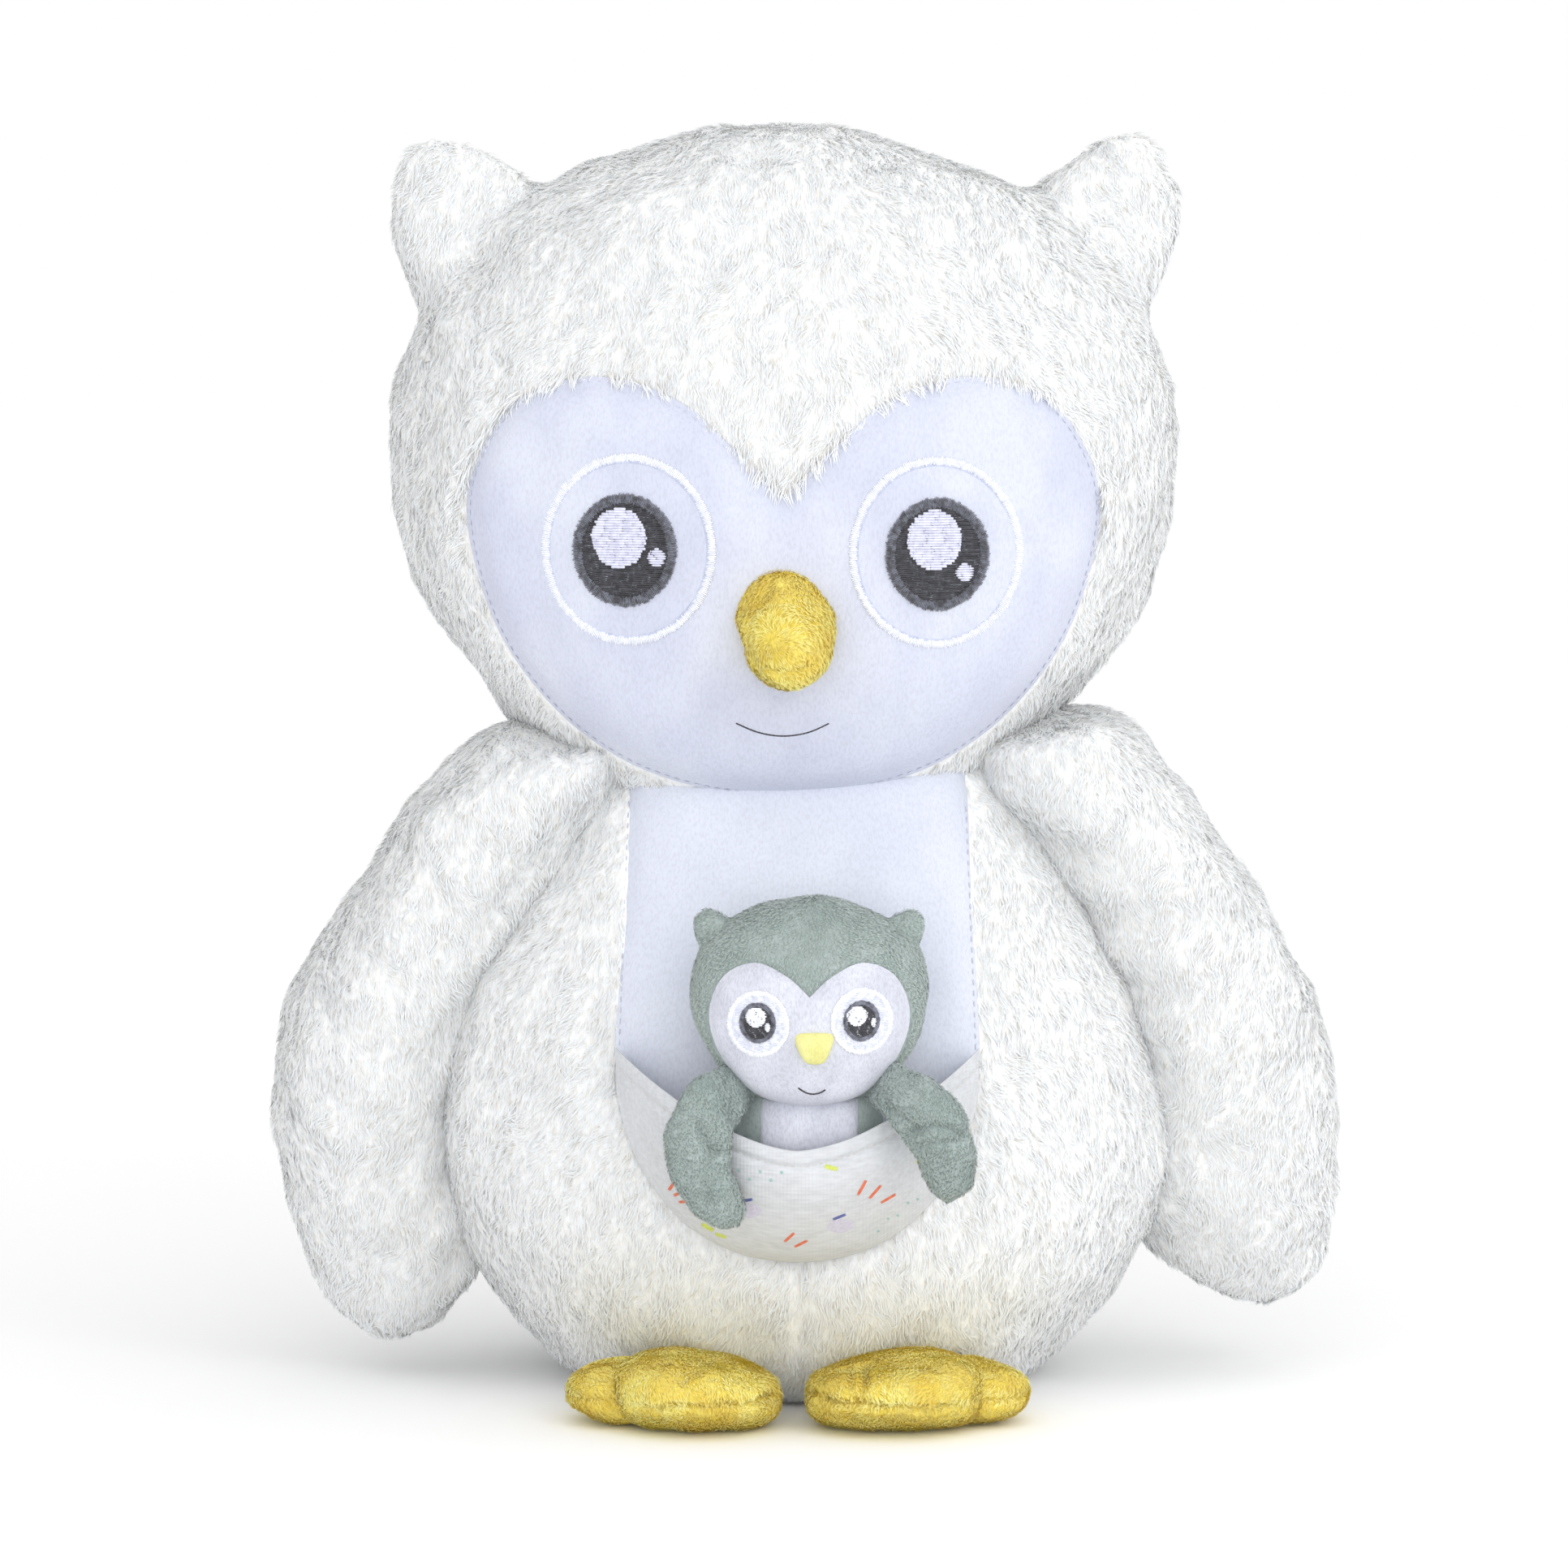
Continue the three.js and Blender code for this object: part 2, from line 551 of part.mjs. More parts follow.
// Baby's body, which stands in the pouch with its back against the belly
const babyBack = -widestDepth(bodyRows) - 2 * seamGap;
const babyBodyY = babyBack - widestDepth(babyBodyRows);
const babyBodyForm = stuffedForm(
  babyBodyRows.map(([z, a, b]) => [z, a, b, babyShift, babyBack - b]), meshes.babyBody);
const babyBodyClear = solid(swollen(babyBodyForm, seamGap));
const bellyStrip = [[-1, 0], [1, 0], [1, reach], [-1, reach]]
  .map(([sideways, z]) => new THREE.Vector2(babyShift + sideways * babyBellyHalf, z));
const babyBody = withInlay(babyBodyForm, bellyStrip, babyBodyY);
addPiece('baby_body', babyBody.base.subtract(babyHeadClear), sageVelour);
addPiece('baby_belly_panel', babyBody.panel.subtract(babyHeadClear), smoothVelour);

// Baby's eyes, ears and beak
for (const [side, sign] of Object.entries(owlSides)) {
  const eyeX = babyShift + (sign * babyEyeSpacing) / 2;
  const disc = frontPrism(ellipse(babyEyeRadii, eyeX, babyEyeHeight, outlineSteps.babyEye), babyHeadY);
  addPiece(`baby_eye_${side}`, stitched(babyHeadForm, disc), whiteThread);
  const rows = babyEarRows.map(([z, out, a, b]) => [z, a, b, babyShift + sign * out, babyHeadY]);
  const ear = stuffedForm(rows, meshes.babyEar);
  addPiece(`baby_ear_${side}`, solid(ear).subtract(babyHeadClear), sageVelour);
}
const babyBeakForm = beakForm(babyBeak.radii, babyBeak.length, babyBeak.root, meshes.babyBeak)
  .rotateX(beakAngle).translate(babyShift, babyHeadY - babyBeak.depth, babyBeak.height);
addPiece('baby_beak', solid(babyBeakForm).subtract(babyHeadClear), paleYellow);

// A flat limb whose sections stand across a path that bends in the front view
function limbForm(rows, { sides, rings }) {
  const path = smoothCurve(rows.map(([x, y, z]) => [x, y, z]));
  const sizes = smoothCurve(rows.map((row) => [row[3], row[4], 0]));
  const points = [path.getPoint(0).toArray()];
  for (let ring = 1; ring < rings; ring += 1) {
    const middle = path.getPoint(ring / rings);
    const size = sizes.getPoint(ring / rings);
    const along = path.getTangent(ring / rings);
    const across = new THREE.Vector3(along.z, 0, -along.x).normalize();
    for (let side = 0; side < sides; side += 1) {
      const turn = (2 * Math.PI * side) / sides;
      const point = middle.clone().addScaledVector(across, size.x * Math.cos(turn));
      point.y += size.y * Math.sin(turn);
      points.push(point.toArray());
    }
  }
  points.push(path.getPoint(1).toArray());
  return closedStack(points, sides, rings - 1);
}

// The pouch's foremost place at one share of its half width
function pouchFront(x, across) {
  let front = 0;
  const levels = 20;
  for (let level = 0; level <= levels; level += 1) {
    const share = level / levels;
    const z = pouchSeam(across) + (pouchRim(across) - pouchSeam(across)) * share;
    front = Math.min(front, bellyFront(x, z) - pouchBulge(across, share));
  }
  return front;
}

// All that the pouch passes through, seen from a baby that is lifted out: a block under the rim
const pouchColumnRoom = (() => {
  const plan = [];
  const front = [];
  for (const across of pouchColumns(pouchMesh.columns)) {
    const x = bellyShift + pouchHalf * across;
    plan.push(new THREE.Vector2(x, pouchFront(x, across) - hemFar - babyWingRoom));
    front.push(new THREE.Vector2(x, pouchRim(across) + babyWingRoom));
  }
  const ends = [plan[plan.length - 1].x, plan[0].x];
  plan.push(...ends.map((x) => new THREE.Vector2(x, 0)));
  front.push(...ends.map((x) => new THREE.Vector2(x, 0)));
  const standing = new THREE.ExtrudeGeometry(new THREE.Shape(plan), { depth: reach, bevelEnabled: false });
  return solid(standing).intersect(frontPrism(front, 0));
})();

for (const [side, sign] of Object.entries(owlSides)) {
  const rows = babyWingRows.map(([out, ...rest]) => [sign * out + babyShift, ...rest]);
  const pivotX = babyShift + sign * babyWingPivot.out;
  const pivotZ = babyWingPivot.height;
  const form = limbForm(rows, meshes.babyWing);
  const hung = turnedAboutY(solid(form), pivotX, pivotZ, -sign * babyWingSplay[side]);
  const offBody = clearedThrough(hung, babyBodyClear, pivotX, pivotZ, -sign * babyWingLift);
  const offHead = clearedThrough(offBody, babyHeadClear, pivotX, pivotZ, -sign * babyWingLift);
  const offPouch = clearedThrough(offHead, pouchColumnRoom, pivotX, pivotZ, -sign * babyWingLift);
  addPiece(`baby_wing_${side}`, offPouch, sageVelour);
}

export default owl;
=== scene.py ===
# Dresses the plush mother owl and her baby: fur, velour, embroidery, printed cotton, light and camera.
# Millimetres in the tables, as in the part's source, and metres in every mesh.
import math
from collections import namedtuple

import bpy
import numpy as np
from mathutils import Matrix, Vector, geometry


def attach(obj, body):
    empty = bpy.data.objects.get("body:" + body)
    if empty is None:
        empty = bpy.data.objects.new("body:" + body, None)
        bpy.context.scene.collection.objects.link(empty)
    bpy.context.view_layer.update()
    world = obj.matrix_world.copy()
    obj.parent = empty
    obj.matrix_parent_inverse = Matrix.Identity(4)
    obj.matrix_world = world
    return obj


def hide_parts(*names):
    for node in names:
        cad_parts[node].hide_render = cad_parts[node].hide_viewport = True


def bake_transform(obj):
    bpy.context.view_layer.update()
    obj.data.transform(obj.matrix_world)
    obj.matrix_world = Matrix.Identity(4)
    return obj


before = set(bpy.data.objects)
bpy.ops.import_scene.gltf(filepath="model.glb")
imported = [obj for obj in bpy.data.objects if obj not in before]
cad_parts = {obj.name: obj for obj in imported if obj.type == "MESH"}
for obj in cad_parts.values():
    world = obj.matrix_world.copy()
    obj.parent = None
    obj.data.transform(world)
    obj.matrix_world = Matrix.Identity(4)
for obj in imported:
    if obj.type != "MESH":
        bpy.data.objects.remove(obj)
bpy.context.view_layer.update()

MM = 0.001

# The part's own forms. A row is height, half width, half depth, and where it leans, its place in x and y.
BODY_ROWS = [
    [0, 69, 57], [3.5, 74.5, 64], [11, 82, 72], [25, 94.5, 80], [44, 107.5, 86], [66, 116.5, 88],
    [90, 117.5, 87], [116, 113, 82], [142, 104, 75], [168, 91, 66.5], [191, 77, 58.5], [207, 61, 47],
    [217, 42, 32], [222.5, 20, 15], [224, 0, 0],
]
BODY_SQUARE = 2.15
HEAD_SHIFT = -6.2
HEAD_ROWS = [
    [176, 0, 0], [179, 26, 34], [184, 46, 52], [192, 66, 62], [204, 80, 68.5], [218, 92.5, 73],
    [234, 105, 76], [252, 114.5, 77], [272, 120, 76.5], [296, 121, 74.5], [318, 118, 69.5],
    [335, 111.5, 63], [350, 101.5, 55.5], [362, 89, 48.5], [371.5, 76, 42], [377.5, 61.5, 36.5],
    [382, 46, 31], [387, 31, 24.5], [391.3, 15.5, 14.5], [393.5, 0, 0],
]
HEAD_SQUARE = 2.3
EAR_ROWS = [
    [322, 95, 0, 0], [328, 95.5, 12.5, 11], [340, 97.5, 18, 16], [354, 99.5, 21, 16], [366, 99.8, 22.3, 14],
    [374, 99.8, 21.5, 11], [379, 102, 17, 8.5], [384, 106, 11, 5.5], [388, 109.5, 0, 0],
]
WING_ROWS = [
    [11, 126.5, 0, 0, -4], [14, 127, 10, 6, -4], [23, 127.8, 20.5, 12, -5], [38, 128.5, 29.5, 18.5, -6],
    [56, 131, 32, 23.5, -8], [80, 134.8, 31.5, 27.5, -10], [104, 132, 32, 32, -11],
    [128, 123.5, 32.5, 36.5, -11], [150, 113.5, 32, 40, -10], [168, 102, 32, 43.5, -10],
    [182, 91.5, 32.5, 45.5, -11], [194, 80.5, 30.5, 43.5, -12], [203, 73, 24, 34, -13], [209, 70, 0, 0, -13],
]
WING_SQUARE = 2.2
WING_BEND = 90
WING_CURL = {"right": (0, 0), "left": (18, 12)}
HEART_NOTCH = [0, 281]
HEART_HALF = [
    [15.5, 296], [32, 310], [56, 317.2], [79.5, 311], [93.5, 293], [97.5, 272], [89, 240],
    [72.5, 215.5], [51, 199], [26, 190], [0, 187],
]
BELLY_SHIFT = -2
BELLY_TOP_HALF = 53
BELLY_TOP = 200
POUCH_HALF = 56
POUCH_CORNER = 114
POUCH_DEPTH = 64.7
POUCH_ROUND = 2.15
RIM_SAG = 25.3
RIM_CURVE = 1.55
POUCH_STANDOFF = 33
POUCH_SWELL = 0.8
POUCH_FULLNESS = 2.2
BABY_SHIFT = 1.5
BABY_HEAD_ROWS = [
    [100, 0, 0], [101.6, 13, 12], [106.4, 22.2, 18], [115, 29.5, 21.6], [124, 34.3, 23.2], [133, 35.4, 23.5],
    [142, 34.4, 22.8], [150, 30.5, 20], [156.5, 22.5, 14.5], [161, 12.5, 8], [163, 0, 0],
]
BABY_HEAD_SQUARE = 2.2
BABY_HEAD_Y = -79.8 - 23.5
BABY_BODY_ROWS = [
    [60, 0, 0], [62, 9, 5], [67, 15.5, 8.5], [75, 20, 11.5], [86, 22.7, 13], [96, 22, 13], [103, 18.5, 11.5],
    [108, 12, 8], [111, 0, 0],
]
BABY_BACK = -88.6
BABY_EAR_ROWS = [
    [144, 26.5, 0, 0], [147, 26.8, 4.5, 4], [152, 27.8, 6, 4.5], [156.5, 29.2, 4.6, 3.4], [159.5, 30.6, 0, 0],
]
BABY_HEART_NOTCH = [0, 135.5]
BABY_HEART_HALF = [
    [6.5, 141.5], [16, 145.6], [25.5, 141.5], [30.2, 131], [28.5, 120], [22, 109.3], [12, 102.2], [0, 99.7],
]
SIDES = {"right": -1, "left": 1}


# Curves and noise
def catmull_rom(p, at):
    """Points of a smooth curve at places counted in knots. Its first and last points only steer it."""
    i = np.minimum(at.astype(int), len(p) - 4)
    w = (at - i)[:, None]
    p0, p1, p2, p3 = p[i], p[i + 1], p[i + 2], p[i + 3]
    a, b = (p2 - p0) / 2, (p3 - p1) / 2
    return p1 + a * w + (3 * p2 - 3 * p1 - 2 * a - b) * w**2 + (2 * p1 - 2 * p2 + a + b) * w**3


def curve(points, shares):
    """A smooth curve through points, at shares of its length from 0 to 1."""
    p = np.asarray(points, float)
    steered = np.vstack([2 * p[0] - p[1], p, 2 * p[-1] - p[-2]])
    return catmull_rom(steered, np.asarray(shares, float) * (len(p) - 1))


def spline(points, steps):
    """A smooth curve through flat points, in steps."""
    p = np.asarray(points, float)
    return catmull_rom(np.vstack([p[0], p, p[-1]]), np.linspace(0, len(p) - 1, steps + 1))


def unit(v):
    return v / np.maximum(np.linalg.norm(v, axis=-1, keepdims=True), 1e-12)


def ways(x, y, z):
    """Directions or points from numbers and arrays."""
    return np.stack(np.broadcast_arrays(x, y, z), 1)


def bell(x):
    """1 at 0, and almost 0 from 2 on."""
    return np.exp(-(x**2))


def smoothstep(low, high, x):
    t = np.clip((x - low) / (high - low), 0, 1)
    return t * t * (3 - 2 * t)


WAVES = 14


def wobble(points, size, seed):
    """Smooth noise of about unit strength whose bumps are about size across."""
    rng = np.random.default_rng(seed)
    direction = unit(rng.normal(size=(WAVES, 3)))
    pace = 2 * math.pi / size * rng.uniform(0.55, 1.25, WAVES)
    phase = rng.uniform(0, 2 * math.pi, WAVES)
    return np.sin(points @ (direction * pace[:, None]).T + phase).sum(1) * math.sqrt(2 / WAVES)


def flat_wobble(x, z, size, seed):
    return wobble(ways(x, z, 0 * x), size, seed)


def lumps(points, strength, seed):
    """The unevenness of stuffing."""
    return strength * (wobble(points, 46, seed) * 0.55 + wobble(points, 21, seed + 1) * 0.3)


# Forms
def corner_cross(verts, faces):
    """The normals of faces, each as long as twice the area of its first three corners."""
    a, b, c = (verts[faces[:, k]] for k in range(3))
    return np.cross(b - a, c - a)


def front_faced(verts, faces):
    """The faces, turned so that they face the front on the whole."""
    return faces[:, ::-1] if corner_cross(verts, faces)[:, 1].mean() > 0 else faces


class Form:
    """A closed mesh of quads and triangles, in millimetres."""

    def __init__(self, verts, quads, tris):
        self.v = np.asarray(verts, float)
        self.q = np.asarray(quads, int).reshape(-1, 4)
        self.t = np.asarray(tris, int).reshape(-1, 3)

    def triangles(self):
        return np.vstack([self.q[:, [0, 1, 2]], self.q[:, [0, 2, 3]], self.t])

    def normals(self):
        tri = self.triangles()
        face = corner_cross(self.v, tri)
        total = np.zeros_like(self.v)
        for k in range(3):
            np.add.at(total, tri[:, k], face)
        return unit(total)

    def pushed(self, amount):
        """Each point moved out along its normal."""
        return Form(self.v + self.normals() * np.reshape(amount, (-1, 1)), self.q, self.t)

    def moved(self, by):
        return Form(self.v + by, self.q, self.t)

    def sample(self, per_mm2, rng, keep=None):
        """Random points on the skin, with the normals there."""
        tri = self.triangles()
        area = np.linalg.norm(corner_cross(self.v, tri), axis=1) / 2
        if keep is not None:
            area = area * keep(sum(self.v[tri[:, k]] for k in range(3)) / 3)
        count = int(area.sum() * per_mm2)
        pick = rng.choice(len(tri), count, p=area / area.sum())
        r, s = np.sqrt(rng.random(count)), rng.random(count)
        weights = np.stack([1 - r, r * (1 - s), r * s], 1)
        mixed = lambda values: sum(values[tri[pick, k]] * weights[:, [k]] for k in range(3))
        return mixed(self.v), unit(mixed(self.normals()))


def stack(points, sides, rings):
    """Joins a bottom point, rings of points and a top point."""
    ring, side = np.meshgrid(np.arange(rings - 1), np.arange(sides), indexing="ij")
    after = (side + 1) % sides
    at = lambda r, s: 1 + r * sides + s
    quads = np.stack([at(ring, side), at(ring, after), at(ring + 1, after), at(ring + 1, side)], -1)
    s = np.arange(sides)
    s2 = (s + 1) % sides
    bottom = np.stack([np.zeros(sides, int), at(0, s2), at(0, s)], -1)
    top = np.stack([np.full(sides, len(points) - 1), at(rings - 1, s), at(rings - 1, s2)], -1)
    return Form(points, quads.reshape(-1, 4), np.vstack([bottom, top]))


def stuffed(rows, sides, rings, squareness=2.0):
    """The closed form through rows, as the part's source makes it, but finer."""
    rows = [list(row) + [0] * (5 - len(row)) for row in rows]
    t = np.linspace(0, 1, rings + 1)
    size = curve([[r[1], r[2], r[0]] for r in rows], t)
    place = curve([[r[3], r[4]] for r in rows], t)
    flat = rows[0][1] > 0
    keep = slice(0 if flat else 1, rings)
    turn = np.linspace(0, 2 * math.pi, sides, endpoint=False)
    bend = lambda c: np.sign(c) * np.abs(c) ** (2 / squareness)
    x = place[keep, :1] + size[keep, :1] * bend(np.cos(turn))
    y = place[keep, 1:2] + size[keep, 1:2] * bend(np.sin(turn))
    z = np.repeat(size[keep, 2:3], sides, 1)
    skirts = np.stack([x, y, z], -1).reshape(-1, 3)
    first = [place[0, 0], place[0, 1], size[0, 2]]
    last = [place[-1, 0], place[-1, 1], size[-1, 2]]
    return stack(np.vstack([first, skirts, last]), sides, len(x))


# A union is smoothed all over in its first rounds. Then its creases are filled, and its crests hardly change.
EVEN_ROUNDS = 5
EVEN_SHARE = 0.12
CREASE_SHARE = 0.6
CREST_SHARE = 0.04
ROUNDS_PER_NORMAL = 8


def blended(forms, voxel_mm, centres, reach_mm, rounds):
    """One closed skin around overlapping forms, made soft around the places where they join."""
    obj = add_mesh("union", *merged(forms))
    remesh = obj.modifiers.new("union", "REMESH")
    remesh.mode = "VOXEL"
    remesh.voxel_size = voxel_mm * MM
    me = obj.evaluated_get(bpy.context.evaluated_depsgraph_get()).to_mesh()
    verts = np.empty(len(me.vertices) * 3, np.float32)
    me.vertices.foreach_get("co", verts)
    verts = verts.reshape(-1, 3).astype(float) / MM
    corners = np.empty(len(me.loops), np.int32)
    me.loops.foreach_get("vertex_index", corners)
    edges = np.empty(len(me.edges) * 2, np.int32)
    me.edges.foreach_get("vertices", edges)
    data = obj.data
    bpy.data.objects.remove(obj)
    bpy.data.meshes.remove(data)
    a, b = edges.reshape(-1, 2).T
    ends, others = np.concatenate([a, b]), np.concatenate([b, a])
    count = np.bincount(ends, minlength=len(verts))
    quads = corners.reshape(-1, 4)
    away = np.min([np.linalg.norm(verts - c, axis=1) for c in centres], axis=0)
    fill = CREASE_SHARE * smoothstep(reach_mm, 0.55 * reach_mm, away)
    for turn in range(rounds):
        near = np.stack([np.bincount(ends, verts[others, k], len(verts)) for k in range(3)], 1)
        step = near / count[:, None] - verts
        if turn < EVEN_ROUNDS:
            verts += EVEN_SHARE * step
            continue
        if turn % ROUNDS_PER_NORMAL == EVEN_ROUNDS:
            normal = Form(verts, quads, []).normals()
        outward = (step * normal).sum(1) > 0
        verts += step * np.where(outward, fill, CREST_SHARE * fill)[:, None]
    return Form(verts, quads, [])


def merged(forms):
    start = np.cumsum([0] + [len(f.v) for f in forms])
    quads = np.vstack([f.q + n for f, n in zip(forms, start)])
    tris = np.vstack([f.t + n for f, n in zip(forms, start)])
    return np.vstack([f.v for f in forms]), [quads, tris]


def front_of(rows, squareness, shift=0.0, middle=0.0, back=None, steps=1500):
    """The depth of a form's front side at x and height, for a form around middle or one that ends at back."""
    c = curve([row[:3] for row in rows], np.linspace(0, 1, steps))

    def front(x, z):
        a, b = (np.interp(z, c[:, 0], c[:, k]) for k in (1, 2))
        share = np.clip(np.abs((x - shift) / np.maximum(a, 1e-6)), 0, 1)
        centre = middle if back is None else back - b
        return centre - b * (1 - share**squareness) ** (1 / squareness)

    return front


def mirrored(notch, half, middle, steps):
    side = spline([notch, *half], steps)
    other = side[1:-1][::-1] * [-1, 1]
    return np.vstack([side, other]) + [middle, 0]


def inside(outline, x, z):
    """Which points are in a closed flat outline."""
    found = np.zeros(len(x), bool)
    for (x0, z0), (x1, z1) in zip(outline, np.roll(outline, -1, 0)):
        crosses = (z0 > z) != (z1 > z)
        at = x0 + (z - z0) * (x1 - x0) / (z1 - z0 if z1 != z0 else 1e-9)
        found ^= crosses & (x < at)
    return found


def edge_distance(outline, x, z):
    """How far points are from a closed flat outline."""
    best = np.full(len(x), 1e9)
    for start, end in zip(outline, np.roll(outline, -1, 0)):
        along = end - start
        length = max(along @ along, 1e-12)
        share = np.clip(((x - start[0]) * along[0] + (z - start[1]) * along[1]) / length, 0, 1)
        away = np.hypot(x - start[0] - share * along[0], z - start[1] - share * along[1])
        best = np.minimum(best, away)
    return best


# Blender objects from numbers
def add_mesh(name, verts, faces, normals=None, uv=None):
    me = bpy.data.meshes.new(name)
    verts = np.asarray(verts, np.float32) * MM
    faces = [np.asarray(f, np.int32) for f in faces if len(f)]
    corners = np.concatenate([f.ravel() for f in faces])
    counts = np.concatenate([np.full(len(f), f.shape[1]) for f in faces])
    me.vertices.add(len(verts))
    me.vertices.foreach_set("co", verts.ravel())
    me.loops.add(len(corners))
    me.loops.foreach_set("vertex_index", corners)
    me.polygons.add(len(counts))
    me.polygons.foreach_set("loop_start", (np.cumsum(counts) - counts).astype(np.int32))
    me.polygons.foreach_set("use_smooth", np.ones(len(counts), bool))
    me.update(calc_edges=True)
    if uv is not None:
        layer = me.uv_layers.new(name="OFBake")
        layer.data.foreach_set("uv", np.asarray(uv, np.float32)[corners].ravel())
    if normals is not None:
        me.normals_split_custom_set_from_vertices(normals)
    obj = bpy.data.objects.new(name, me)
    bpy.context.scene.collection.objects.link(obj)
    return obj


def dress(obj, cloth, body, replaces=()):
    material, slot = cloth
    obj.data.materials.append(material)
    if isinstance(body, str):
        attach(obj, body)
    else:
        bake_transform(obj)
    if replaces:
        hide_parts(*replaces)
    return obj


def add_stuffed(name, form, cloth, body, replaces):
    dress(add_mesh(name, form.v, [form.q, form.t]), cloth, body, replaces)


# Materials. A cloth or thread is a material paired with the name of a slot.
WHITE = (255, 255, 255)


def linear(colour):
    """Display colour values from 0 to 255 as scene values."""
    c = np.asarray(colour, float) / 255
    return tuple(np.where(c <= 0.04045, c / 12.92, ((c + 0.055) / 1.055) ** 2.4)) + (1.0,)


def add_node(tree, kind, values=(), links=(), **settings):
    node = tree.nodes.new(kind)
    for key, value in settings.items():
        setattr(node, key, value)
    for key, value in dict(values).items():
        node.inputs[key].default_value = value
    for key, source in dict(links).items():
        tree.links.new(source, node.inputs[key])
    return node


class Nodes:
    """A small helper that builds a node material."""

    def __init__(self, name, roughness=0.9, sheen=0.0, sheen_roughness=0.5, specular=0.3):
        self.material = bpy.data.materials.new(name)
        self.material.use_nodes = True
        self.tree = self.material.node_tree
        self.shader = self.tree.nodes["Principled BSDF"]
        self.shader.inputs["Roughness"].default_value = roughness
        self.shader.inputs["Sheen Weight"].default_value = sheen
        self.shader.inputs["Sheen Roughness"].default_value = sheen_roughness
        self.shader.inputs["Specular IOR Level"].default_value = specular

    def add(self, kind, values=(), links=(), **settings):
        return add_node(self.tree, kind, values, links, **settings)

    def place(self, stretch=(1, 1, 1)):
        where = self.add("ShaderNodeTexCoord").outputs["Object"]
        return self.add("ShaderNodeMapping", {"Scale": stretch}, {"Vector": where}).outputs["Vector"]

    def noise(self, size_mm, detail=2.0, stretch=(1, 1, 1)):
        values = {"Scale": 1000 / size_mm, "Detail": detail}
        return self.add("ShaderNodeTexNoise", values, {"Vector": self.place(stretch)}).outputs["Fac"]

    def ramp(self, fac, places, *colours):
        node = self.add("ShaderNodeValToRGB", links={"Fac": fac})
        elements = node.color_ramp.elements
        while len(elements) < len(places):
            elements.new(0.5)
        for element, place, colour in zip(elements, places, colours):
            element.position = place
            element.color = linear(colour)
        return node.outputs["Color"]

    def multiply(self, a, b, share=1.0):
        node = self.add("ShaderNodeMix", {0: share}, data_type="RGBA", blend_type="MULTIPLY")
        self.tree.links.new(a, node.inputs[6])
        self.tree.links.new(b, node.inputs[7])
        return node.outputs[2]

    def colour(self, source):
        self.tree.links.new(source, self.shader.inputs["Base Color"])

    def bump(self, height, strength, distance_mm, before=None):
        links = {"Height": height}
        if before is not None:
            links["Normal"] = before
        node = self.add("ShaderNodeBump", {"Strength": strength, "Distance": distance_mm * MM}, links)
        self.tree.links.new(node.outputs["Normal"], self.shader.inputs["Normal"])
        return node.outputs["Normal"]


def velour(name, slot, tones, pile_mm, patch_mm, fleck, depth=0.35, sheen=0.35):
    """Short pile cloth: soft patches where the pile lies another way, and fine streaks of fibre."""
    n = Nodes(name, roughness=0.85, sheen=sheen, sheen_roughness=0.45, specular=0.15)
    patches = n.noise(patch_mm, 2.5, (1, 1, 0.7))
    fibre = n.noise(pile_mm, 2.0, (1, 1, 0.45))
    streaks = n.ramp(fibre, (0.3, 0.55, 0.75), (214, 214, 214), (246, 246, 246), WHITE)
    n.colour(n.multiply(n.ramp(patches, (0.34, 0.5, 0.66), *tones), streaks, fleck))
    n.bump(fibre, 0.5, depth, n.bump(patches, 0.25 * fleck, 1.2))
    return n.material, slot


def thread(name, slot, dark, light, sheen=0.25):
    n = Nodes(name, roughness=0.42, sheen=sheen, specular=0.5)
    n.colour(n.ramp(n.noise(1.6), (0.35, 0.65), dark, light))
    n.bump(n.noise(0.5), 0.25, 0.1)
    return n.material, slot


def fur_backing():
    n = Nodes("fur_backing", roughness=0.95, sheen=0.2, specular=0.1)
    streaks = n.noise(1.1, 3.0, (1, 1, 0.35))
    n.colour(n.ramp(streaks, (0.3, 0.5, 0.7), (232, 229, 224), (239, 240, 240), (243, 246, 249)))
    n.bump(streaks, 0.6, 0.8)
    return n.material, "white_fur"


def pile_strands(name, slot, tones, sheen=0.15, sheen_tint=WHITE, patch=WHITE):
    """The pile's colour runs from root to tip along a strand, and from strand to strand across the map."""
    n = Nodes(name, roughness=0.8, sheen=sheen, specular=0.12)
    n.shader.inputs["Sheen Tint"].default_value = linear(sheen_tint)
    uv = n.add("ShaderNodeUVMap", uv_map="OFBake").outputs["UV"]
    split = n.add("ShaderNodeSeparateXYZ", links={"Vector": uv})
    # Darker, warmer roots: painted shade down among the blades.
    along = n.ramp(split.outputs["Y"], (0.0, 0.35, 0.8), *tones)
    strand = n.ramp(split.outputs["X"], (0.0, 0.05, 0.12, 0.5, 1.0), (222, 215, 203), (228, 223, 213),
                    (246, 245, 243), (251, 251, 251), WHITE)
    patches = n.ramp(n.noise(13), (0.4, 0.6), patch, WHITE)
    n.colour(n.multiply(n.multiply(along, strand), patches))
    return n.material, slot


WEAVE_PITCH = 0.55
WAVE_PERIOD = 6.283


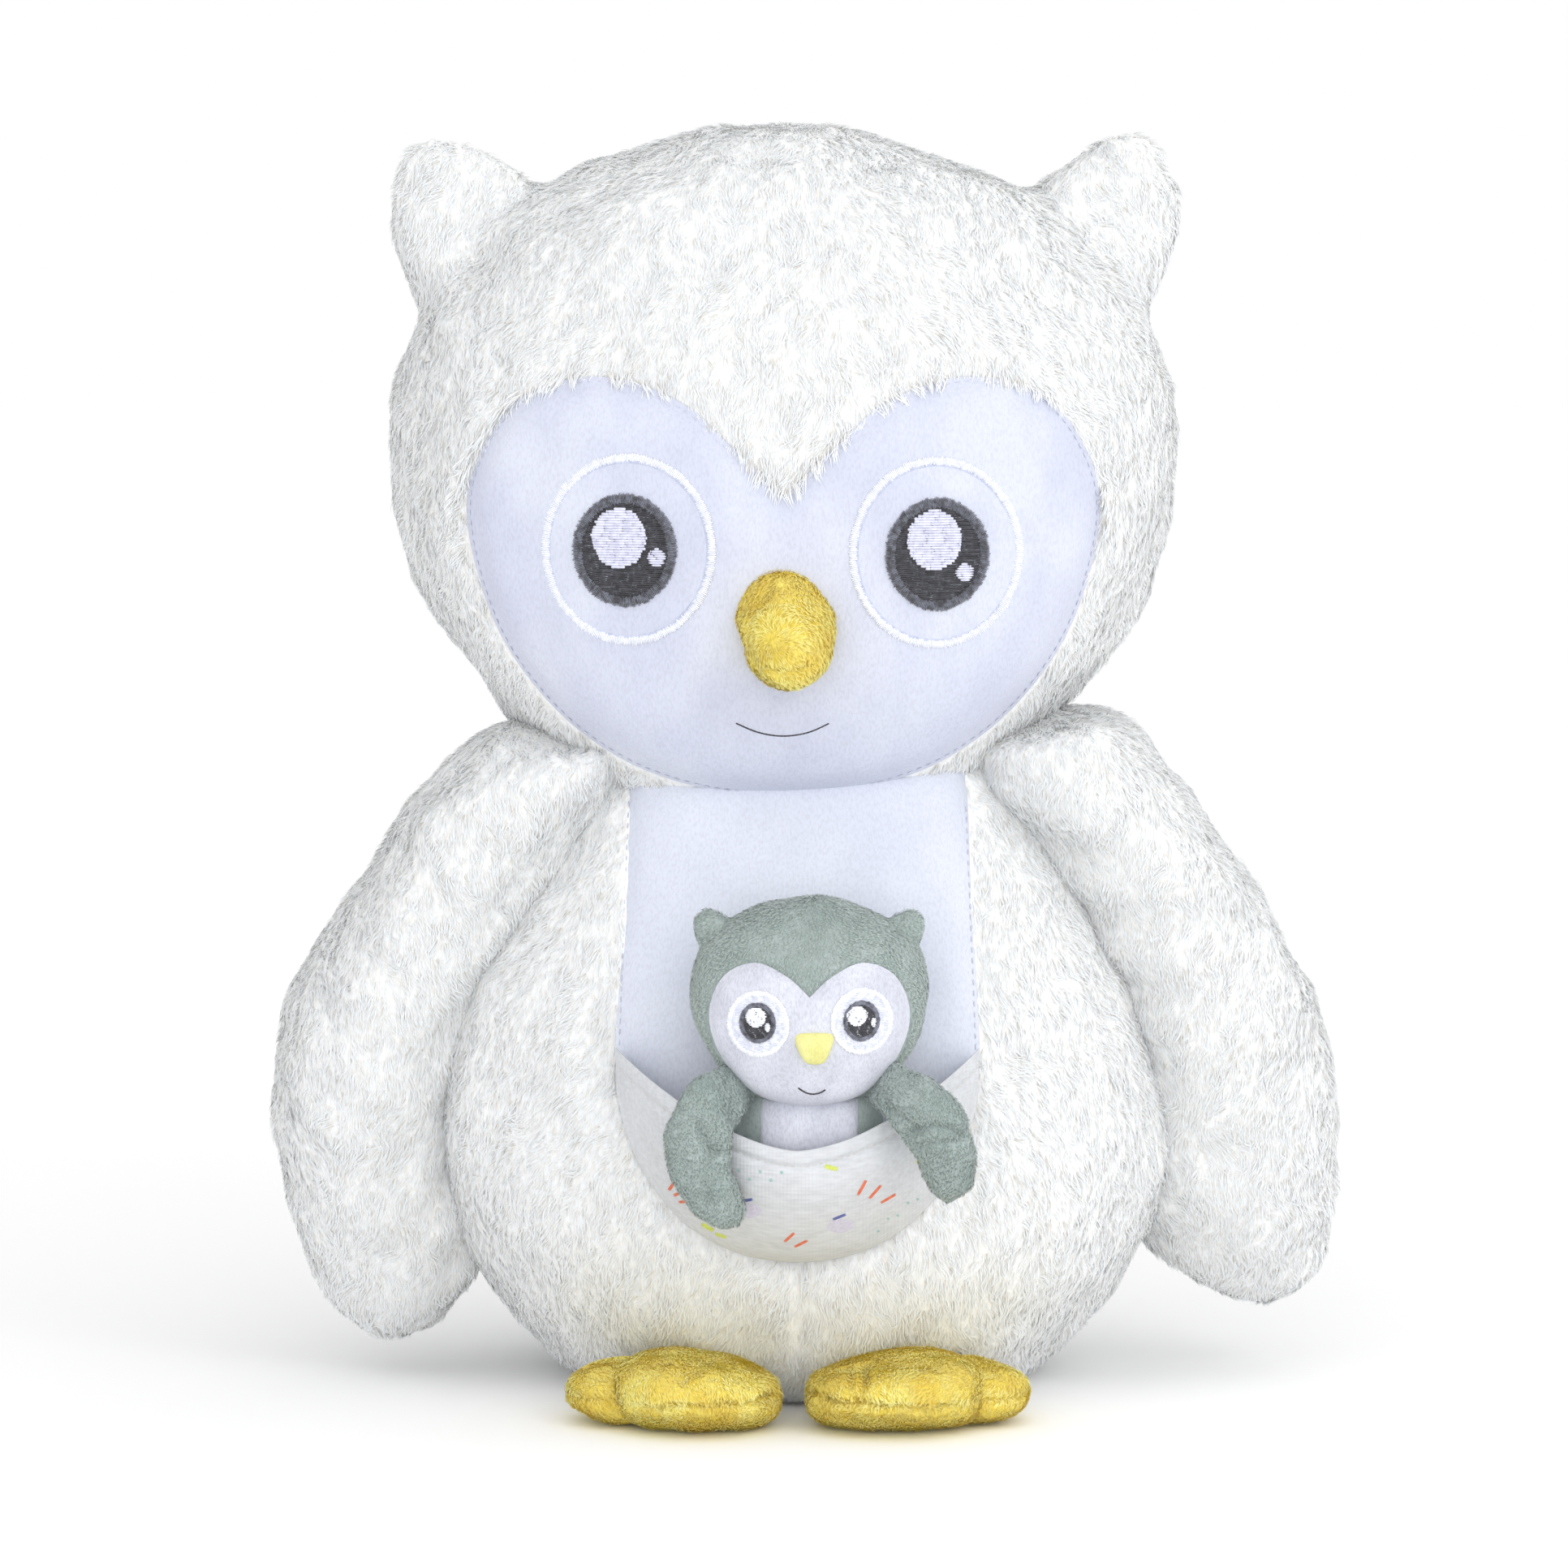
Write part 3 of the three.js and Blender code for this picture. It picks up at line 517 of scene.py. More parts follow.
def cotton():
    n = Nodes("pouch_cotton", roughness=0.85, sheen=0.1, specular=0.2)
    where = {"Vector": n.place()}
    values = {"Scale": 1000 / WEAVE_PITCH / WAVE_PERIOD, "Distortion": 0.6, "Detail": 1.0}
    waves = [
        n.add("ShaderNodeTexWave", values, where, wave_type="BANDS", bands_direction=way) for way in "XZ"
    ]
    weave = {number: wave.outputs["Fac"] for number, wave in enumerate(waves)}
    both_ways = n.add("ShaderNodeMath", links=weave, operation="ADD").outputs[0]
    patches = n.noise(9)
    base = n.ramp(patches, (0.3, 0.7), (210, 212, 216), (217, 219, 223))
    slub = n.ramp(n.noise(1.2, 2.0, (0.2, 1, 1)), (0.3, 0.7), (240, 240, 240), WHITE)
    n.colour(n.multiply(base, slub))
    n.bump(both_ways, 0.35, 0.12, n.bump(patches, 0.2, 1.0))
    return n.material, "printed_cotton"


def ink(name, dark, light):
    n = Nodes(name, roughness=0.85, specular=0.2)
    n.colour(n.ramp(n.noise(0.9), (0.35, 0.65), dark, light))
    n.bump(n.noise(0.5, 1.0), 0.2, 0.1)
    return n.material, "printed_cotton"


white_skin = fur_backing()
# The first of each pile's tones is its root's, darker as painted shade among the blades.
white_pile = pile_strands("fur_pile", "white_fur", [(235, 230, 222), (241, 242, 242), (243, 247, 251)])
gold_pile = pile_strands("gold_pile", "gold_velour", [(232, 211, 98), (239, 222, 111), (251, 245, 164)],
                         0.6, (255, 244, 160), (246, 230, 196))
# A lighter copy of the gold pile for the feet: painted light, lifting them out of the shade under the belly.
foot_pile_painted_light = pile_strands("foot_pile_painted_light", "gold_velour", [(248, 230, 112), (252, 238, 124), (255, 253, 180)],
                         0.7, (255, 246, 170), (247, 231, 190))
sage_pile = pile_strands("sage_pile", "sage_velour", [(118, 133, 128), (154, 168, 164), (196, 208, 204)],
                         0.35)
# A darker copy of the sage pile for the baby's wings: painted shade, and their pile lying another way.
wing_sage_pile_painted_shade = pile_strands("wing_sage_pile_painted_shade", "sage_velour",
                              [(92, 106, 101), (136, 150, 146), (188, 201, 197)], 0.35)
face_cloth = velour("face_velour", "smooth_velour", [(200, 204, 222), (206, 210, 227), (213, 217, 231)],
                    0.7, 26, 0.35, 0.12)
belly_cloth = velour("belly_velour", "smooth_velour", [(212, 216, 231), (216, 220, 234), (220, 224, 237)],
                     0.7, 26, 0.35, 0.12)
snow_cloth = velour("snow_velour", "smooth_velour", [(205, 207, 219), (212, 214, 226), (220, 222, 233)],
                    0.6, 9, 0.6)
gold_cloth = velour("gold_velour", "gold_velour", [(230, 204, 86), (238, 216, 100), (246, 230, 122)],
                    0.8, 9, 1.0, sheen=0.0)
sage_cloth = velour("sage_velour", "sage_velour", [(152, 166, 163), (163, 176, 173), (174, 186, 184)],
                    0.6, 10, 0.7)
lemon_cloth = velour("lemon_satin", "pale_yellow_velour", [(222, 218, 140), (229, 226, 150), (236, 233, 162)],
                     0.5, 6, 0.4, 0.1, 0.1)
white_stitch = thread("white_thread", "white_thread", (231, 234, 247), (248, 250, 254))
satin_stitch = thread("satin_thread", "white_thread", (232, 234, 242), (250, 251, 255))
disc_stitch = thread("disc_thread", "white_thread", (214, 217, 232), (234, 236, 246))
lilac_stitch = thread("lilac_thread", "white_thread", (206, 207, 226), (228, 229, 243))
# Grey-blue thread for the eye ring's inner edge: painted shade where the stitches draw the cloth in.
painted_groove_shade = thread("painted_groove_shade_thread", "white_thread", (178, 184, 208), (198, 204, 224))
seam_stitch = thread("seam_thread", "white_thread", (190, 192, 208), (210, 212, 226))
cream_stitch = thread("cream_thread", "white_thread", (196, 195, 190), (214, 214, 210))
dark_stitch = thread("charcoal_thread", "dark_thread", (38, 38, 43), (68, 68, 75))
# Charcoal satin thread whose lighter tones are partly painted sheen, scattered by noise over the thread's own
# grey.
grey_stitch = thread("satin_charcoal_thread", "dark_thread", (58, 58, 68), (126, 129, 144), 0.5)
INKS = {
    "coral": ink("coral_ink", (214, 112, 84), (226, 132, 104)),
    "lime": ink("lime_ink", (196, 208, 96), (210, 220, 118)),
    "teal": ink("teal_ink", (150, 186, 182), (172, 202, 198)),
    "navy": ink("navy_ink", (92, 98, 156), (112, 118, 172)),
    "lavender": ink("lavender_ink", (200, 196, 212), (212, 208, 222)),
}
pouch_cloth = cotton()

# Mother's body and head under the fur
body_front = front_of(BODY_ROWS, BODY_SQUARE)
head_front = front_of(HEAD_ROWS, HEAD_SQUARE, HEAD_SHIFT)
heart = mirrored(HEART_NOTCH, HEART_HALF, HEAD_SHIFT, 60)


def belly_outline(steps):
    """The pouch's lower curve, and above it the belly panel's straight sides."""
    turn = np.pi * np.arange(steps + 1) / steps
    across = np.sign(np.cos(turn)) * np.abs(np.cos(turn)) ** (2 / POUCH_ROUND)
    down = np.abs(np.sin(turn)) ** (2 / POUCH_ROUND)
    low = np.stack([BELLY_SHIFT + POUCH_HALF * across, POUCH_CORNER - POUCH_DEPTH * down], 1)
    top = [[BELLY_SHIFT - BELLY_TOP_HALF, BELLY_TOP], [BELLY_SHIFT + BELLY_TOP_HALF, BELLY_TOP]]
    return np.vstack([low, top])


belly = belly_outline(48)
SEAM_REACH = 4.0
PANEL_SINK = 0.6


def seam_dip(outline, points, depth):
    """How far the cloth is drawn in beside a seam in the front, and well under the panel inside it."""
    x, z = points[:, 0], points[:, 2]
    front = points[:, 1] < 0
    away = edge_distance(outline, x, z)
    dip = depth * bell(away / SEAM_REACH) * front
    sunk = np.maximum(depth, dip) + PANEL_SINK * smoothstep(0, 3, away)
    return np.where(inside(outline, x, z) & front, sunk, dip)


fineness = 1.0
body = stuffed(BODY_ROWS, int(200 * fineness), int(130 * fineness), BODY_SQUARE)
centre_seam = 2.0 * bell(body.v[:, 0] / 2.2) * smoothstep(-6, 40, -body.v[:, 1])
centre_seam *= smoothstep(56, 46, body.v[:, 2])
off_base = smoothstep(1, 14, body.v[:, 2])
body = body.pushed(lumps(body.v, 1.3, 11) * off_base - seam_dip(belly, body.v, 1.6) - centre_seam * off_base)


def head_with_ears(head, ear_rows, shift, y, sides, rings):
    """The head and its two ears, as forms to blend."""
    ears = []
    for sign in SIDES.values():
        rows = [[z, a, b, shift + sign * out, y] for z, out, a, b in ear_rows]
        ears.append(stuffed(rows, sides, rings))
    return [head.moved([shift, y, 0]), *ears]


EAR_ROOT = (88, -8, 344)
ear_roots = [(HEAD_SHIFT + sign * EAR_ROOT[0], *EAR_ROOT[1:]) for sign in SIDES.values()]
head = head_with_ears(stuffed(HEAD_ROWS, 150, 100, HEAD_SQUARE), EAR_ROWS, HEAD_SHIFT, 0, 60, 40)
head = blended(head, 1.6, ear_roots, 48, 150)
ear_out = np.abs(head.v[:, 0] - HEAD_SHIFT)
ear_hollow = bell((ear_out - 97) / 8) * (head.v[:, 1] < -2)
ear_hollow *= smoothstep(380, 368, head.v[:, 2]) * smoothstep(342, 356, head.v[:, 2])
from_heart = edge_distance(heart, head.v[:, 0], head.v[:, 2])
head_lumps = lumps(head.v, 1.3, 21) * smoothstep(0, 12, from_heart)
head = head.pushed(head_lumps - seam_dip(heart, head.v, 1.5) - 3.0 * ear_hollow)

add_stuffed("mother_body", body, white_skin, "mother",
            ["body_cover_right", "body_cover_left", "base_panel", "body_filling"])
add_stuffed("mother_head", head, white_skin, "mother",
            ["head_cover_front", "head_cover_back", "head_filling", "ear_tuft_right", "ear_tuft_left"])


# Panels that lie on a form under a front view outline
def puffed(height, seam, width, soft=0.0, size=1.0, seed=0):
    """How far a panel stands off its form: drawn in by its seam, with soft waves away from it."""
    def lift(x, z, away):
        waves = flat_wobble(x, z, size, seed) * soft * smoothstep(4, 20, away) if soft else 0.0
        return height - seam * bell(away / width) + waves
    return lift


def panel(name, outline, front, step, lift, cloth, body, replaces):
    """Lays a sheet over a form's front, and returns the sheet's own front surface."""
    low, high = outline.min(0), outline.max(0)
    grid = np.meshgrid(np.arange(low[0], high[0], step), np.arange(low[1], high[1], step))
    x, z = (values.ravel() for values in grid)
    keep = inside(outline, x, z) & (edge_distance(outline, x, z) > 0.5 * step)
    points = np.vstack([outline, np.stack([x[keep], z[keep]], 1)])
    found = geometry.delaunay_2d_cdt([Vector(p) for p in points], [], [list(range(len(outline)))], 1, 1e-6)
    x, z = np.array([[p.x, p.y] for p in found[0]]).T
    tris = np.array([f for f in found[2] if len(f) == 3])
    slope_x = front(x + 0.5, z) - front(x - 0.5, z)
    slope_z = front(x, z + 0.5) - front(x, z - 0.5)
    out = unit(ways(slope_x, -1.0, slope_z))
    stand_off = lambda x, z: lift(x, z, edge_distance(outline, x, z))
    verts = ways(x, front(x, z), z) + out * stand_off(x, z)[:, None]
    obj = dress(add_mesh(name, verts, [front_faced(verts, tris)]), cloth, body, replaces)
    return lambda x, z: front(x, z) - stand_off(x, z)


panel_step = 1.6
face_front = panel("face_velour_panel", heart, head_front, panel_step, puffed(1.4, 2.5, 5.0, 0.5, 34, 5),
                   face_cloth, "mother", ["face_panel"])
panel_front = panel("belly_velour_panel", belly, body_front, panel_step, puffed(1.2, 2.3, 5.0, 0.4, 30, 6),
                    belly_cloth, "mother", ["belly_panel"])

# Fur: narrow blades that lean along the pile, gathered into small locks
Pile = namedtuple("Pile", "cloth length width lean lock gather sink stray relief")
FUR = Pile(white_pile, 4.8, 0.32, 0.14, 3.0, 0.4, 0.5, 0.03, 0.35)
FRINGE = FUR._replace(length=6.6, width=0.34, lean=0.46, lock=5.0, gather=0.85)
GOLD = Pile(gold_pile, 2.3, 0.28, 0.24, 1.5, 0.4, 0.3, 0.0, 0.15)
SAGE = Pile(sage_pile, 1.6, 0.23, 0.3, 1.0, 0.5, 0.2, 0.03, 0.35)
LOCK_GRID = 4096
FLOOR_CLEARANCE = 0.3
BLADE_CORNERS = 5


def lay_fur(name, form, per_mm2, pile, flow, body, seed, keep=None):
    """Blades on a form's skin, where keep is true of a point, along the way that flow gives there."""
    rng = np.random.default_rng(seed)
    root, normal = form.sample(per_mm2 * (1.0), rng, keep)
    count = len(root)
    drift = np.stack([wobble(root, 9, seed + k) for k in range(3)], 1) * 1.2
    cell = np.floor((root + drift) / pile.lock).astype(int)
    key = (cell + LOCK_GRID // 2) @ [LOCK_GRID**2, LOCK_GRID, 1]
    lock_of = np.unique(key, return_inverse=True)[1]
    members = np.bincount(lock_of)
    middle = np.stack([np.bincount(lock_of, root[:, k]) for k in range(3)], 1) / members[:, None]
    locks = len(members)
    along = flow(root)
    along = unit(along - (along * normal).sum(1, keepdims=True) * normal)
    side = np.cross(normal, along)
    swirl = 0.22 * wobble(root, 60, seed + 5) + 0.2 * wobble(root, 15, seed + 6)
    swirl = swirl + rng.normal(0, 0.3, locks)[lock_of] + rng.normal(0, 0.16, count)
    along = along * np.cos(swirl)[:, None] + side * np.sin(swirl)[:, None]
    rise = pile.lean + 0.07 * wobble(root, 12, seed + 7) + rng.normal(0, 0.05, locks)[lock_of]
    rise = np.clip(rise + rng.normal(0, 0.05, count), 0.03, 1.4)[:, None]
    reach = pile.length * rng.uniform(0.72, 1.12, count) * rng.uniform(0.85, 1.12, locks)[lock_of]
    lie = along * np.cos(rise) + normal * np.sin(rise)
    own_tip = root + lie * reach[:, None]
    lock_tip = middle[lock_of] + lie * reach[:, None] * 1.08
    tip = own_tip + (lock_tip - own_tip) * pile.gather * rng.uniform(0.5, 1.2, count)[:, None]
    bend = root + 0.52 * (tip - root) + normal * (0.1 * reach)[:, None]
    for points in (bend, tip):
        points[:, 2] = np.maximum(points[:, 2], FLOOR_CLEARANCE)
    spin = rng.normal(0, 0.25, count)[:, None]
    across = unit(np.cross(unit(tip - root), normal))
    across = unit(across * np.cos(spin) + np.cross(unit(tip - root), across) * np.sin(spin))
    half = (pile.width / 2 * rng.uniform(0.7, 1.25, count))[:, None] * across
    slim = 0.85 * half
    sunk = root - normal * pile.sink
    verts = np.stack([sunk - half, sunk + half, bend + slim, bend - slim, tip], 1).reshape(-1, 3)
    first = (np.arange(count) * BLADE_CORNERS)[:, None]
    blade = unit(np.cross(half, tip - root))
    blade = blade * np.sign((blade * normal).sum(1, keepdims=True) + 1e-9)
    shades = np.repeat(unit(normal * 0.85 + blade * pile.relief), BLADE_CORNERS, 0)
    tone = 0.14 + 0.84 * (rng.random(count) * 0.75 + 0.25 * rng.random(locks)[lock_of])
    tone[rng.random(count) < pile.stray] = 0.03
    uv = np.stack([np.repeat(tone, BLADE_CORNERS), np.tile([0.02, 0.02, 0.5, 0.5, 0.98], count)], 1)
    dress(add_mesh(name, verts, [first + [[0, 1, 2, 3]], first + [[3, 2, 4]]], shades, uv), pile.cloth, body)


def down_and_out(share):
    """The pile runs down, and by a share away from the middle."""
    return lambda p: ways(share * np.tanh(p[:, 0] / 40), 0.0, -1.0)


def clear_of(outline, overhang):
    def keep(points):
        x, z = points[:, 0], points[:, 2]
        within = inside(outline, x, z) & (points[:, 1] < 0)
        return ~within | (edge_distance(outline, x, z) < overhang)
    return keep


def both(*tests):
    return lambda p: np.logical_and.reduce([t(p) for t in tests])


SEAM_DEPTH = 6
HEAD_FUR_LOW = 186
BODY_FUR_LOW, BODY_FUR_HIGH = 2, 212
OVERHANG = 0.9
front_half = lambda p: p[:, 1] < SEAM_DEPTH
back_half = lambda p: p[:, 1] >= SEAM_DEPTH
above_neck = lambda p: p[:, 2] > HEAD_FUR_LOW
between_base_and_neck = lambda p: (p[:, 2] > BODY_FUR_LOW) & (p[:, 2] < BODY_FUR_HIGH)


def above_face(points):
    x, z = points[:, 0], points[:, 2]
    outside = ~inside(heart, x, z) & (points[:, 1] < 0)
    return outside & (edge_distance(heart, x, z) < 2.6) & (z > 262) & (wobble(points, 16, 300) > -0.5)


lay_fur("head_fur_front", head, 1.5, FUR._replace(width=0.3), down_and_out(0.25), "mother", 101,
        both(front_half, clear_of(heart, OVERHANG), above_neck))
lay_fur("face_fringe", head, 1.5, FRINGE, down_and_out(0.1), "mother", 103, above_face)
lay_fur("head_fur_back", head, 1.0, FUR._replace(length=5.0, width=0.36), down_and_out(0.25), "mother", 102,
        both(back_half, above_neck))
for side, sign in SIDES.items():
    half = lambda p: p[:, 0] * sign > 0.4
    lay_fur(f"body_fur_{side}", body, 1.0, FUR._replace(width=0.34), down_and_out(0.35), "mother", 110 + sign,
            both(half, clear_of(belly, OVERHANG), between_base_and_neck))

# Wings: stuffing has settled in each elbow, and has stayed up in the shoulder on her left
ELBOW = 158
ELBOW_TUCK = {"right": 4.5, "left": 3.0}
SHOULDER = 96
SHOULDER_RISE = {"right": 0.0, "left": 5.5}
for side, sign in SIDES.items():
    curl_out, curl_rise = WING_CURL[side]
    rows = []
    for z, out, a, b, y in WING_ROWS:
        bend = max(0, (WING_BEND - z) / (WING_BEND - WING_ROWS[0][0])) ** 2
        tuck = ELBOW_TUCK[side] * bell((z - ELBOW) / 20)
        rows.append([z + curl_rise * bend, a, b, sign * (out + curl_out * bend - tuck), y])
    wing = stuffed(rows, int(110 * fineness), int(120 * fineness), WING_SQUARE)
    crown = bell((wing.v[:, 0] * sign - SHOULDER) / 24) * smoothstep(178, 200, wing.v[:, 2])
    wing.v[:, 2] += SHOULDER_RISE[side] * crown
    wing = wing.pushed(lumps(wing.v, 1.8, 41 + sign))
    add_stuffed(f"wing_skin_{side}", wing, white_skin, f"wing_{side}", [f"wing_{side}"])
    lay_fur(f"wing_fur_{side}", wing, 1.3, FUR, down_and_out(0.1 * sign), f"wing_{side}", 130 + sign,
            lambda p: p[:, 2] > 12)

# Embroidery: each stitch is a low rounded ridge of thread on the cloth

# A station is a share of the stitch's length with the width and height there, as shares of its own
POINTED = [(0.0, 0.35, 0.0), (0.14, 0.85, 0.75), (0.5, 1.0, 1.0), (0.86, 0.85, 0.75), (1.0, 0.35, 0.0)]
BLUNT = [(0.0, 0.7, 0.3), (0.07, 0.95, 0.9), (0.5, 1.0, 1.0), (0.93, 0.95, 0.9), (1.0, 0.7, 0.3)]
# The ridge's section, sideways and up
SECTION = [(-1.0, 0.0), (-0.6, 0.8), (0.0, 1.0), (0.6, 0.8), (1.0, 0.0)]


def stitches(name, run, width, height, on, lift, cloth, replaces=(), seed=0, stations=POINTED):
    """Stitches from run's starts to its ends in front view, on a front surface of a body."""
    starts, ends = (np.asarray(points, float) for points in run)
    front, body = on
    count = len(starts)
    along = ends - starts
    across = unit(np.stack([-along[:, 1], along[:, 0]], 1))
    tone = np.random.default_rng(seed).uniform(0.85, 1.1, count)
    verts = []
    for share, wide, high in stations:
        for sideways, up in SECTION:
            x, z = (starts + along * share + across * sideways * wide * width / 2).T
            verts.append(ways(x, front(x, z) - lift - height * up * high * tone, z))
    verts = np.stack(verts, 1).reshape(-1, 3)
    row = len(SECTION)
    corner = np.arange(len(stations) - 1)[:, None] * row + np.arange(row - 1)
    quads = np.stack([corner, corner + 1, corner + 1 + row, corner + row], -1).reshape(-1, 4)
    first = (np.arange(count) * len(stations) * row)[:, None, None]
    faces = (first + quads).reshape(-1, 4)
    dress(add_mesh(name, verts, [front_faced(verts, faces)]), cloth, body, replaces)


def ring_stitches(centre, inner, outer, pitch, jitter, seed):
    """Satin stitches that run across a ring, from its inner to its outer oval."""
    rng = np.random.default_rng(seed)
    count = int(math.pi * (outer[0] + outer[1]) / pitch)
    turn = 2 * math.pi * np.arange(count) / count
    way = np.stack([np.cos(turn), np.sin(turn)], 1)
    start = centre + way * np.asarray(inner) * (1 - rng.uniform(0, jitter, (count, 1)))
    end = centre + way * np.asarray(outer) * (1 + rng.uniform(0, jitter, (count, 1)))
    return start, end


def fill_stitches(centre, radii, row, length, ragged, seed):
    """Rows of stitches that fill an oval, each row broken into stitches at random, with ragged ends."""
    rng = np.random.default_rng(seed)
    starts, ends = [], []
    for z in np.arange(-radii[1] + row / 2, radii[1], row):
        half = radii[0] * math.sqrt(max(0.0, 1 - (z / radii[1]) ** 2))
        left, right = -half + rng.uniform(-ragged, ragged), half + rng.uniform(-ragged, ragged)
        at = left - rng.random() * length
        while at < right:
            a, b = max(at, left), min(at + length, right)
            if b - a > 0.3:
                starts.append([centre[0] + a, centre[1] + z])
                ends.append([centre[0] + b, centre[1] + z + rng.uniform(-0.05, 0.05)])
            at += length
    return starts, ends


def dashes(line, pitch, length, first=0.0, spare=0.0):
    """Running stitches along a line of points."""
    run = np.concatenate([[0], np.cumsum(np.linalg.norm(np.diff(line, axis=0), axis=1))])
    at = np.arange(first, run[-1] - spare, pitch)
    return [np.stack([np.interp(s, run, line[:, k]) for k in range(2)], 1) for s in (at, at + length)]


SEAM_PITCH = 3.2
SEAM_DASH = 1.7
SEAM_INSET = 1.6


def seam_run(outline):
    """Running stitches just inside a closed outline."""
    start, end = dashes(np.vstack([outline, outline[:1]]), SEAM_PITCH, SEAM_DASH)
    along = unit(end - start)
    inward = np.stack([along[:, 1], -along[:, 0]], 1)
    wrong = ~inside(outline, *((start + end) / 2 + inward * 0.5).T)
    inward[wrong] *= -1
    return start + inward * SEAM_INSET, end + inward * SEAM_INSET


def curved_line(points, steps, overlap):
    """Stitches end to end along a curve, each of them longer than its step at both ends."""
    line = spline(points, steps)
    more = (line[1:] - line[:-1]) * overlap
    return line[:-1] - more, line[1:] + more


def embroider(eyes, on, rows):
    """A row: name, place, kind, sizes, seed, width, height, lift, thread, node replaced, stations."""
    for number, (side, eye) in enumerate(eyes.items()):
        for name, place, kind, sizes, seed, width, height, lift, cloth, node, stations in rows:
            run = kind(eye[place], *sizes, seed + number)
            replaces = [f"{node}_{side}"] if node else ()
            stitches(f"{name}_{side}", run, width, height, on, lift, cloth, replaces, stations=stations)


EYES = {
    "right": {"ring": (-53.2, 265), "iris": (-54.35, 264.8),
              "glint": (-56.1, 268.5), "spark": (-44.6, 262.8)},
    "left": {"ring": (40.05, 264), "iris": (40.4, 263.6),
             "glint": (39.4, 268.0), "spark": (48.7, 258.1)},
}
RING = np.array([24.4, 26.9])
RING_BAND = 1.9
IRIS = np.array([15.65, 16.9])
IRIS_BAND = 2.6
FACE = (face_front, "mother")
embroider(EYES, FACE, [
    # The first ring is painted shade: grey-blue thread just inside the white satin, where the cloth dips.
    ("ring_painted_shade", "ring", ring_stitches, (RING - 0.7, RING + 0.1, 0.6, 0.004), 200, 0.7, 0.12, 0.05,
     painted_groove_shade, None, POINTED),
    ("ring_satin", "ring", ring_stitches, (RING, RING + RING_BAND, 0.55, 0.022), 210, 0.6, 0.8, 0.1,
     white_stitch, "eye_ring", POINTED),
    ("iris_fill", "iris", fill_stitches, (IRIS - 0.8, 0.62, 6.5, 0.2), 220, 0.62, 0.5, 0.1,
     dark_stitch, "iris", BLUNT),
    ("iris_edge", "iris", ring_stitches, (IRIS - IRIS_BAND, IRIS, 0.55, 0.04), 230, 0.6, 1.4, 0.15,
     grey_stitch, None, POINTED),
    ("glint", "glint", fill_stitches, ((8.3, 9.1), 0.8, 5.5, 0.4), 240, 0.86, 0.7, 0.5,
     lilac_stitch, None, BLUNT),
    ("spark", "spark", fill_stitches, ((2.8, 2.7), 0.7, 6.5, 0.25), 250, 0.76, 0.7, 0.55,
     lilac_stitch, None, POINTED),
])
stitches("face_seam", seam_run(heart), 0.45, 0.3, FACE, -0.05, seam_stitch)
start, end = seam_run(belly)
seen = (start[:, 1] > 112) & (start[:, 1] < 186)
stitches("belly_seam", (start[seen], end[seen]), 0.45, 0.3, (panel_front, "mother"), -0.05, seam_stitch)
MOUTH = [[-20.6, 212.0], [-13.8, 209.2], [-6.3, 208.1], [1.2, 209.2], [7.5, 212.0]]
stitches("mouth", curved_line(MOUTH, 26, 0.2), 0.55, 0.3, FACE, 0.0, dark_stitch)


# Beak: a stuffed cone that droops, with the creases of its seam
def tilted(v, degrees):
    """Turned about the x axis, by the right-hand rule."""
    c, s = math.cos(math.radians(degrees)), math.sin(math.radians(degrees))
    return np.stack([v[:, 0], c * v[:, 1] - s * v[:, 2], s * v[:, 1] + c * v[:, 2]], 1)


def crease(points, path, depth, width):
    """A groove along a path of points."""
    best = np.full(len(points), 1e9)
    path = np.asarray(path, float)
    for start, end in zip(path[:-1], path[1:]):
        along = end - start
        share = np.clip((points - start) @ along / (along @ along), 0, 1)
        best = np.minimum(best, np.linalg.norm(points - start - share[:, None] * along, axis=1))
    return depth * bell(best / width)


def front_crease(points, path, depth, width, behind):
    """A groove along a front view path, on the points that lie in front of the depth behind."""
    flat = np.array([[x, 0, z] for x, z in path], float)
    return crease(points * [1, 0, 1], flat, depth, width) * smoothstep(behind, behind - 4, points[:, 1])


BEAK_ROWS = [
    [-8, 14.2, 13.5], [0, 15.4, 14.8], [9, 15.2, 14.6], [17, 13.4, 13], [24, 10.4, 10.2], [29.5, 6.5, 6.6],
    [32, 0, 0],
]
BEAK_PLACE = (HEAD_SHIFT, -74, 245)
BEAK_DROOP = 28.7
BEAK_HEIGHTS = [228, 231, 236.5, 241, 245.5, 251.5, 255.3, 259, 263]
BEAK_NARROWS = [1.0, 1.0, 0.90, 0.94, 0.98, 0.90, 0.86, 0.82, 0.80]
BEAK_LEANS = [1.5, 1.5, 1.4, 1.0, 0.4, -0.2, -0.6, -0.9, -0.9]
BEAK_DIMPLE = (-9.0, 240.0)
# A fold: its front view path, depth, width and the depth that it ends before
BEAK_FOLDS = [
    ([(-10.5, 255), (-13.6, 251), (-15.8, 247), (-16.8, 241)], 0.9, 1.9, -80),
    ([(-13, 257.5), (-16.5, 252.5), (-18.2, 247)], 0.4, 1.1, -80),
    ([(3.2, 233.4), (-2, 230.8), (-7.2, 229.8), (-12.3, 231)], 1.3, 1.1, -80),
    ([(BEAK_DIMPLE[0] - 0.5, BEAK_DIMPLE[1]), (BEAK_DIMPLE[0] + 0.5, BEAK_DIMPLE[1])], 1.0, 3.4, -84),
]
beak = stuffed(BEAK_ROWS, 110, 90)
beak.v = tilted(beak.v, 90 + BEAK_DROOP) + BEAK_PLACE
off_middle = beak.v[:, 0] - HEAD_SHIFT
beak.v[:, 0] += off_middle * (np.interp(beak.v[:, 2], BEAK_HEIGHTS, BEAK_NARROWS) - 1)
